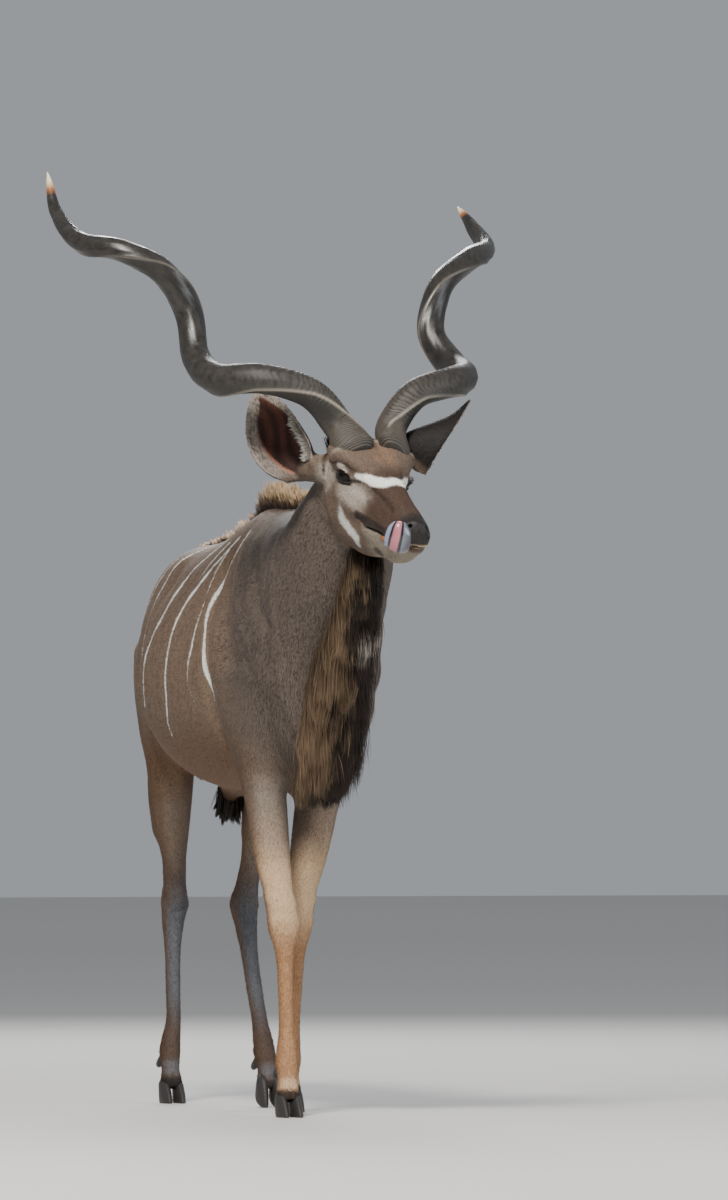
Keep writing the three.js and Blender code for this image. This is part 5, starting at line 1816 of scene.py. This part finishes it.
def horn_finish():
    """Dark mottled horn, worn pale along its rings, with a painted highlight along its keel and painted
    shade in the flank beside it, and amber and ivory at its tip.
    """
    finish = Finish("horn_sheath", Specular_IOR_Level=0.5)
    along = finish.attribute("along")
    mottle = finish.noise(38.0, 6.0)
    flecks = finish.noise(300.0, 4.0)
    tone = finish.ramp(mottle, (0.3, shade_of(27, 25, 23)), (0.7, shade_of(54, 50, 46)))
    worn = finish.ramp(flecks, (0.56, 0.0), (0.72, 1.0))
    share = finish.times(worn, finish.ramp(along, (0.0, 0.45), (0.40, 0.25), (0.6, 0.05)))
    tone = finish.blend(share, tone, shade_of(104, 96, 84))
    # Painted shade in the flank's hollow beside the keel, from a little above the base.
    share = finish.times(finish.attribute("flank"), finish.ramp(along, (0.04, 0.0), (0.12, 0.7)))
    tone = finish.blend(share, tone, shade_of(28, 26, 25))
    tone = finish.blend(finish.times(finish.attribute("crest"), 0.5), tone, shade_of(116, 105, 90))
    # A painted highlight along the keel, strongest between the base and the middle of the horn.
    keel_highlight_fading = ((0.02, 0.0), (0.05, 0.8), (0.35, 0.6), (0.8, 0.1))
    share = finish.times(finish.attribute("keel"), finish.ramp(along, *keel_highlight_fading))
    tone = finish.blend(share, tone, shade_of(160, 152, 138))
    tone = finish.blend(finish.ramp(along, (0.945, 0.0), (0.962, 1.0)), tone, shade_of(158, 100, 56))
    tone = finish.blend(finish.ramp(along, (0.960, 0.0), (0.980, 1.0)), tone, shade_of(232, 214, 180))
    smoother = finish.ramp(along, (0.0, 1.0), (0.36, 0.8), (0.46, 0.5))
    finish.paint(tone, finish.times(smoother, finish.ramp(mottle, (0.3, 0.52), (0.7, 0.75))))
    finish.bump(flecks, 0.35, 0.0012)
    return finish


def hoof_finish():
    finish = Finish("hoof_horn", Specular_IOR_Level=0.35)
    streak = finish.noise(90.0, 4.0)
    tone = finish.ramp(streak, (0.3, shade_of(30, 28, 28)), (0.7, shade_of(66, 62, 60)))
    finish.paint(tone, finish.ramp(streak, (0.3, 0.38), (0.7, 0.6)))
    finish.bump(streak, 0.3, 0.001)
    return finish


def eye_finish():
    """A black pupil, wider than it is high, in a dark brown eye."""
    finish = Finish(
        "eye_gloss", Roughness=0.12, Specular_IOR_Level=0.12, Coat_Weight=0.2, Coat_Roughness=0.03)
    gaze = finish.node("ShaderNodeSeparateXYZ", {"Vector": finish.attribute("gaze", "Vector")}).outputs
    flatter = finish.times(gaze[1], 1.9)
    oval = finish.node("ShaderNodeCombineXYZ", {0: gaze[0], 1: flatter}).outputs[0]
    from_pupil = finish.node("ShaderNodeVectorMath", {0: oval}, operation="LENGTH").outputs["Value"]
    stops = ((0.42, shade_of(5, 5, 8)), (0.50, shade_of(26, 17, 13)), (0.85, shade_of(14, 10, 8)))
    finish.paint(finish.ramp(finish.times(from_pupil, 0.05), *stops))
    return finish


def tongue_finish():
    """Pink in the middle and blue-grey at the sides, with painted shade as a dark line in each groove
    between them.
    """
    finish = Finish(
        "wet_tongue", Roughness=0.25, Coat_Weight=0.8, Coat_Roughness=0.06, Subsurface_Weight=0.1)
    around = finish.attribute("around")
    across = finish.node("ShaderNodeMapRange", {"Value": around, "From Min": -1.0}).outputs[0]
    # Painted shade: the two dark lines lie in the tongue's grooves.
    line = shade_of(24, 20, 24)
    finish.paint(finish.ramp(
        across,
        (0.15, shade_of(132, 142, 168)), (0.19, line), (0.25, line),
        (0.30, shade_of(172, 102, 114)), (0.56, shade_of(180, 114, 126)), (0.61, line), (0.67, line),
        (0.72, shade_of(112, 116, 130)), (0.95, shade_of(70, 70, 80)),
    ))
    finish.bump(finish.noise(700.0, 2.0), 0.25, 0.0006)
    return finish


hide_finish().put_on([skin])
hair_finish("fur", 0.62, 0.2).put_on(coat_pieces)
hair_finish("locks", 0.55, 0.25).put_on(hair_pieces)
horn_finish().put_on(horns)
hoof_finish().put_on(hooves)
eye_finish().put_on(eyes)
tongue_finish().put_on([tongue])

# Stage.
FLOOR_REACH = 40
floor_corners = [(x * FLOOR_REACH, y * FLOOR_REACH, 0) for x, y in ((-1, -1), (1, -1), (1, 1), (-1, 1))]
floor = bpy.data.objects.new("studio_floor", bpy.data.meshes.new("studio_floor"))
scene.collection.objects.link(floor)
floor.data.from_pydata(floor_corners, [], [(0, 1, 2, 3)])
floor_paint = Finish("floor_paint", Roughness=0.9)
worn = floor_paint.noise(3.0)
floor_paint.paint(floor_paint.ramp(worn, (0.3, (0.60, 0.59, 0.57)), (0.7, (0.66, 0.65, 0.63))))
floor_paint.put_on([floor])

world = bpy.data.worlds.new("studio")
world.use_nodes = True
sky = world.node_tree.nodes["Background"].inputs
sky["Color"].default_value = (0.80, 0.84, 0.90, 1)
sky["Strength"].default_value = 0.42
scene.world = world


def lamp(name, place, target, size, power, colour):
    light = bpy.data.lights.new(name, "AREA")
    light.shape = "DISK"
    light.size = size
    light.energy = power
    light.color = colour
    holder = bpy.data.objects.new(name, light)
    holder.location = place
    holder.rotation_euler = (Vector(target) - Vector(place)).to_track_quat("-Z", "Y").to_euler()
    scene.collection.objects.link(holder)


lamp("key", (-3.0, -6.0, 7.0), (0, 0.2, 1.1), 1.8, 1080, (1, 0.96, 0.90))
lamp("fill", (6.0, -5.0, 3.0), (0, 0.2, 1.1), 4.0, 220, (0.9, 0.95, 1))
lamp("rim", (1.5, 7.0, 5.0), (0, 0.2, 1.2), 3.0, 420, (1, 1, 1))

# Camera, on the line of sight that the photo has.
CAMERA_AZIMUTH = -15
CAMERA_DISTANCE = 24.0
CAMERA_HEIGHT = 0.8
AIM_RIGHT = 0.412                   # the axis is turned this far to the right of the animal, in degrees
AIM_UP = 0.931
PICTURE_HEIGHT = 1200
FOCAL_PIXELS = 10428
SENSOR = 36.0
camera = bpy.data.objects.new("camera", bpy.data.cameras.new("camera"))
scene.collection.objects.link(camera)
scene.camera = camera
camera.data.sensor_width = SENSOR
camera.data.lens = FOCAL_PIXELS / PICTURE_HEIGHT * SENSOR
camera.data.clip_end = 200
yaw = np.radians(CAMERA_AZIMUTH)
toward_camera = np.array([np.sin(yaw), -np.cos(yaw), 0])
camera.location = np.array([-0.06, 0, CAMERA_HEIGHT]) + toward_camera * CAMERA_DISTANCE + SHIFT
camera.rotation_euler = (np.radians(90 + AIM_UP), 0, np.radians(CAMERA_AZIMUTH - AIM_RIGHT))
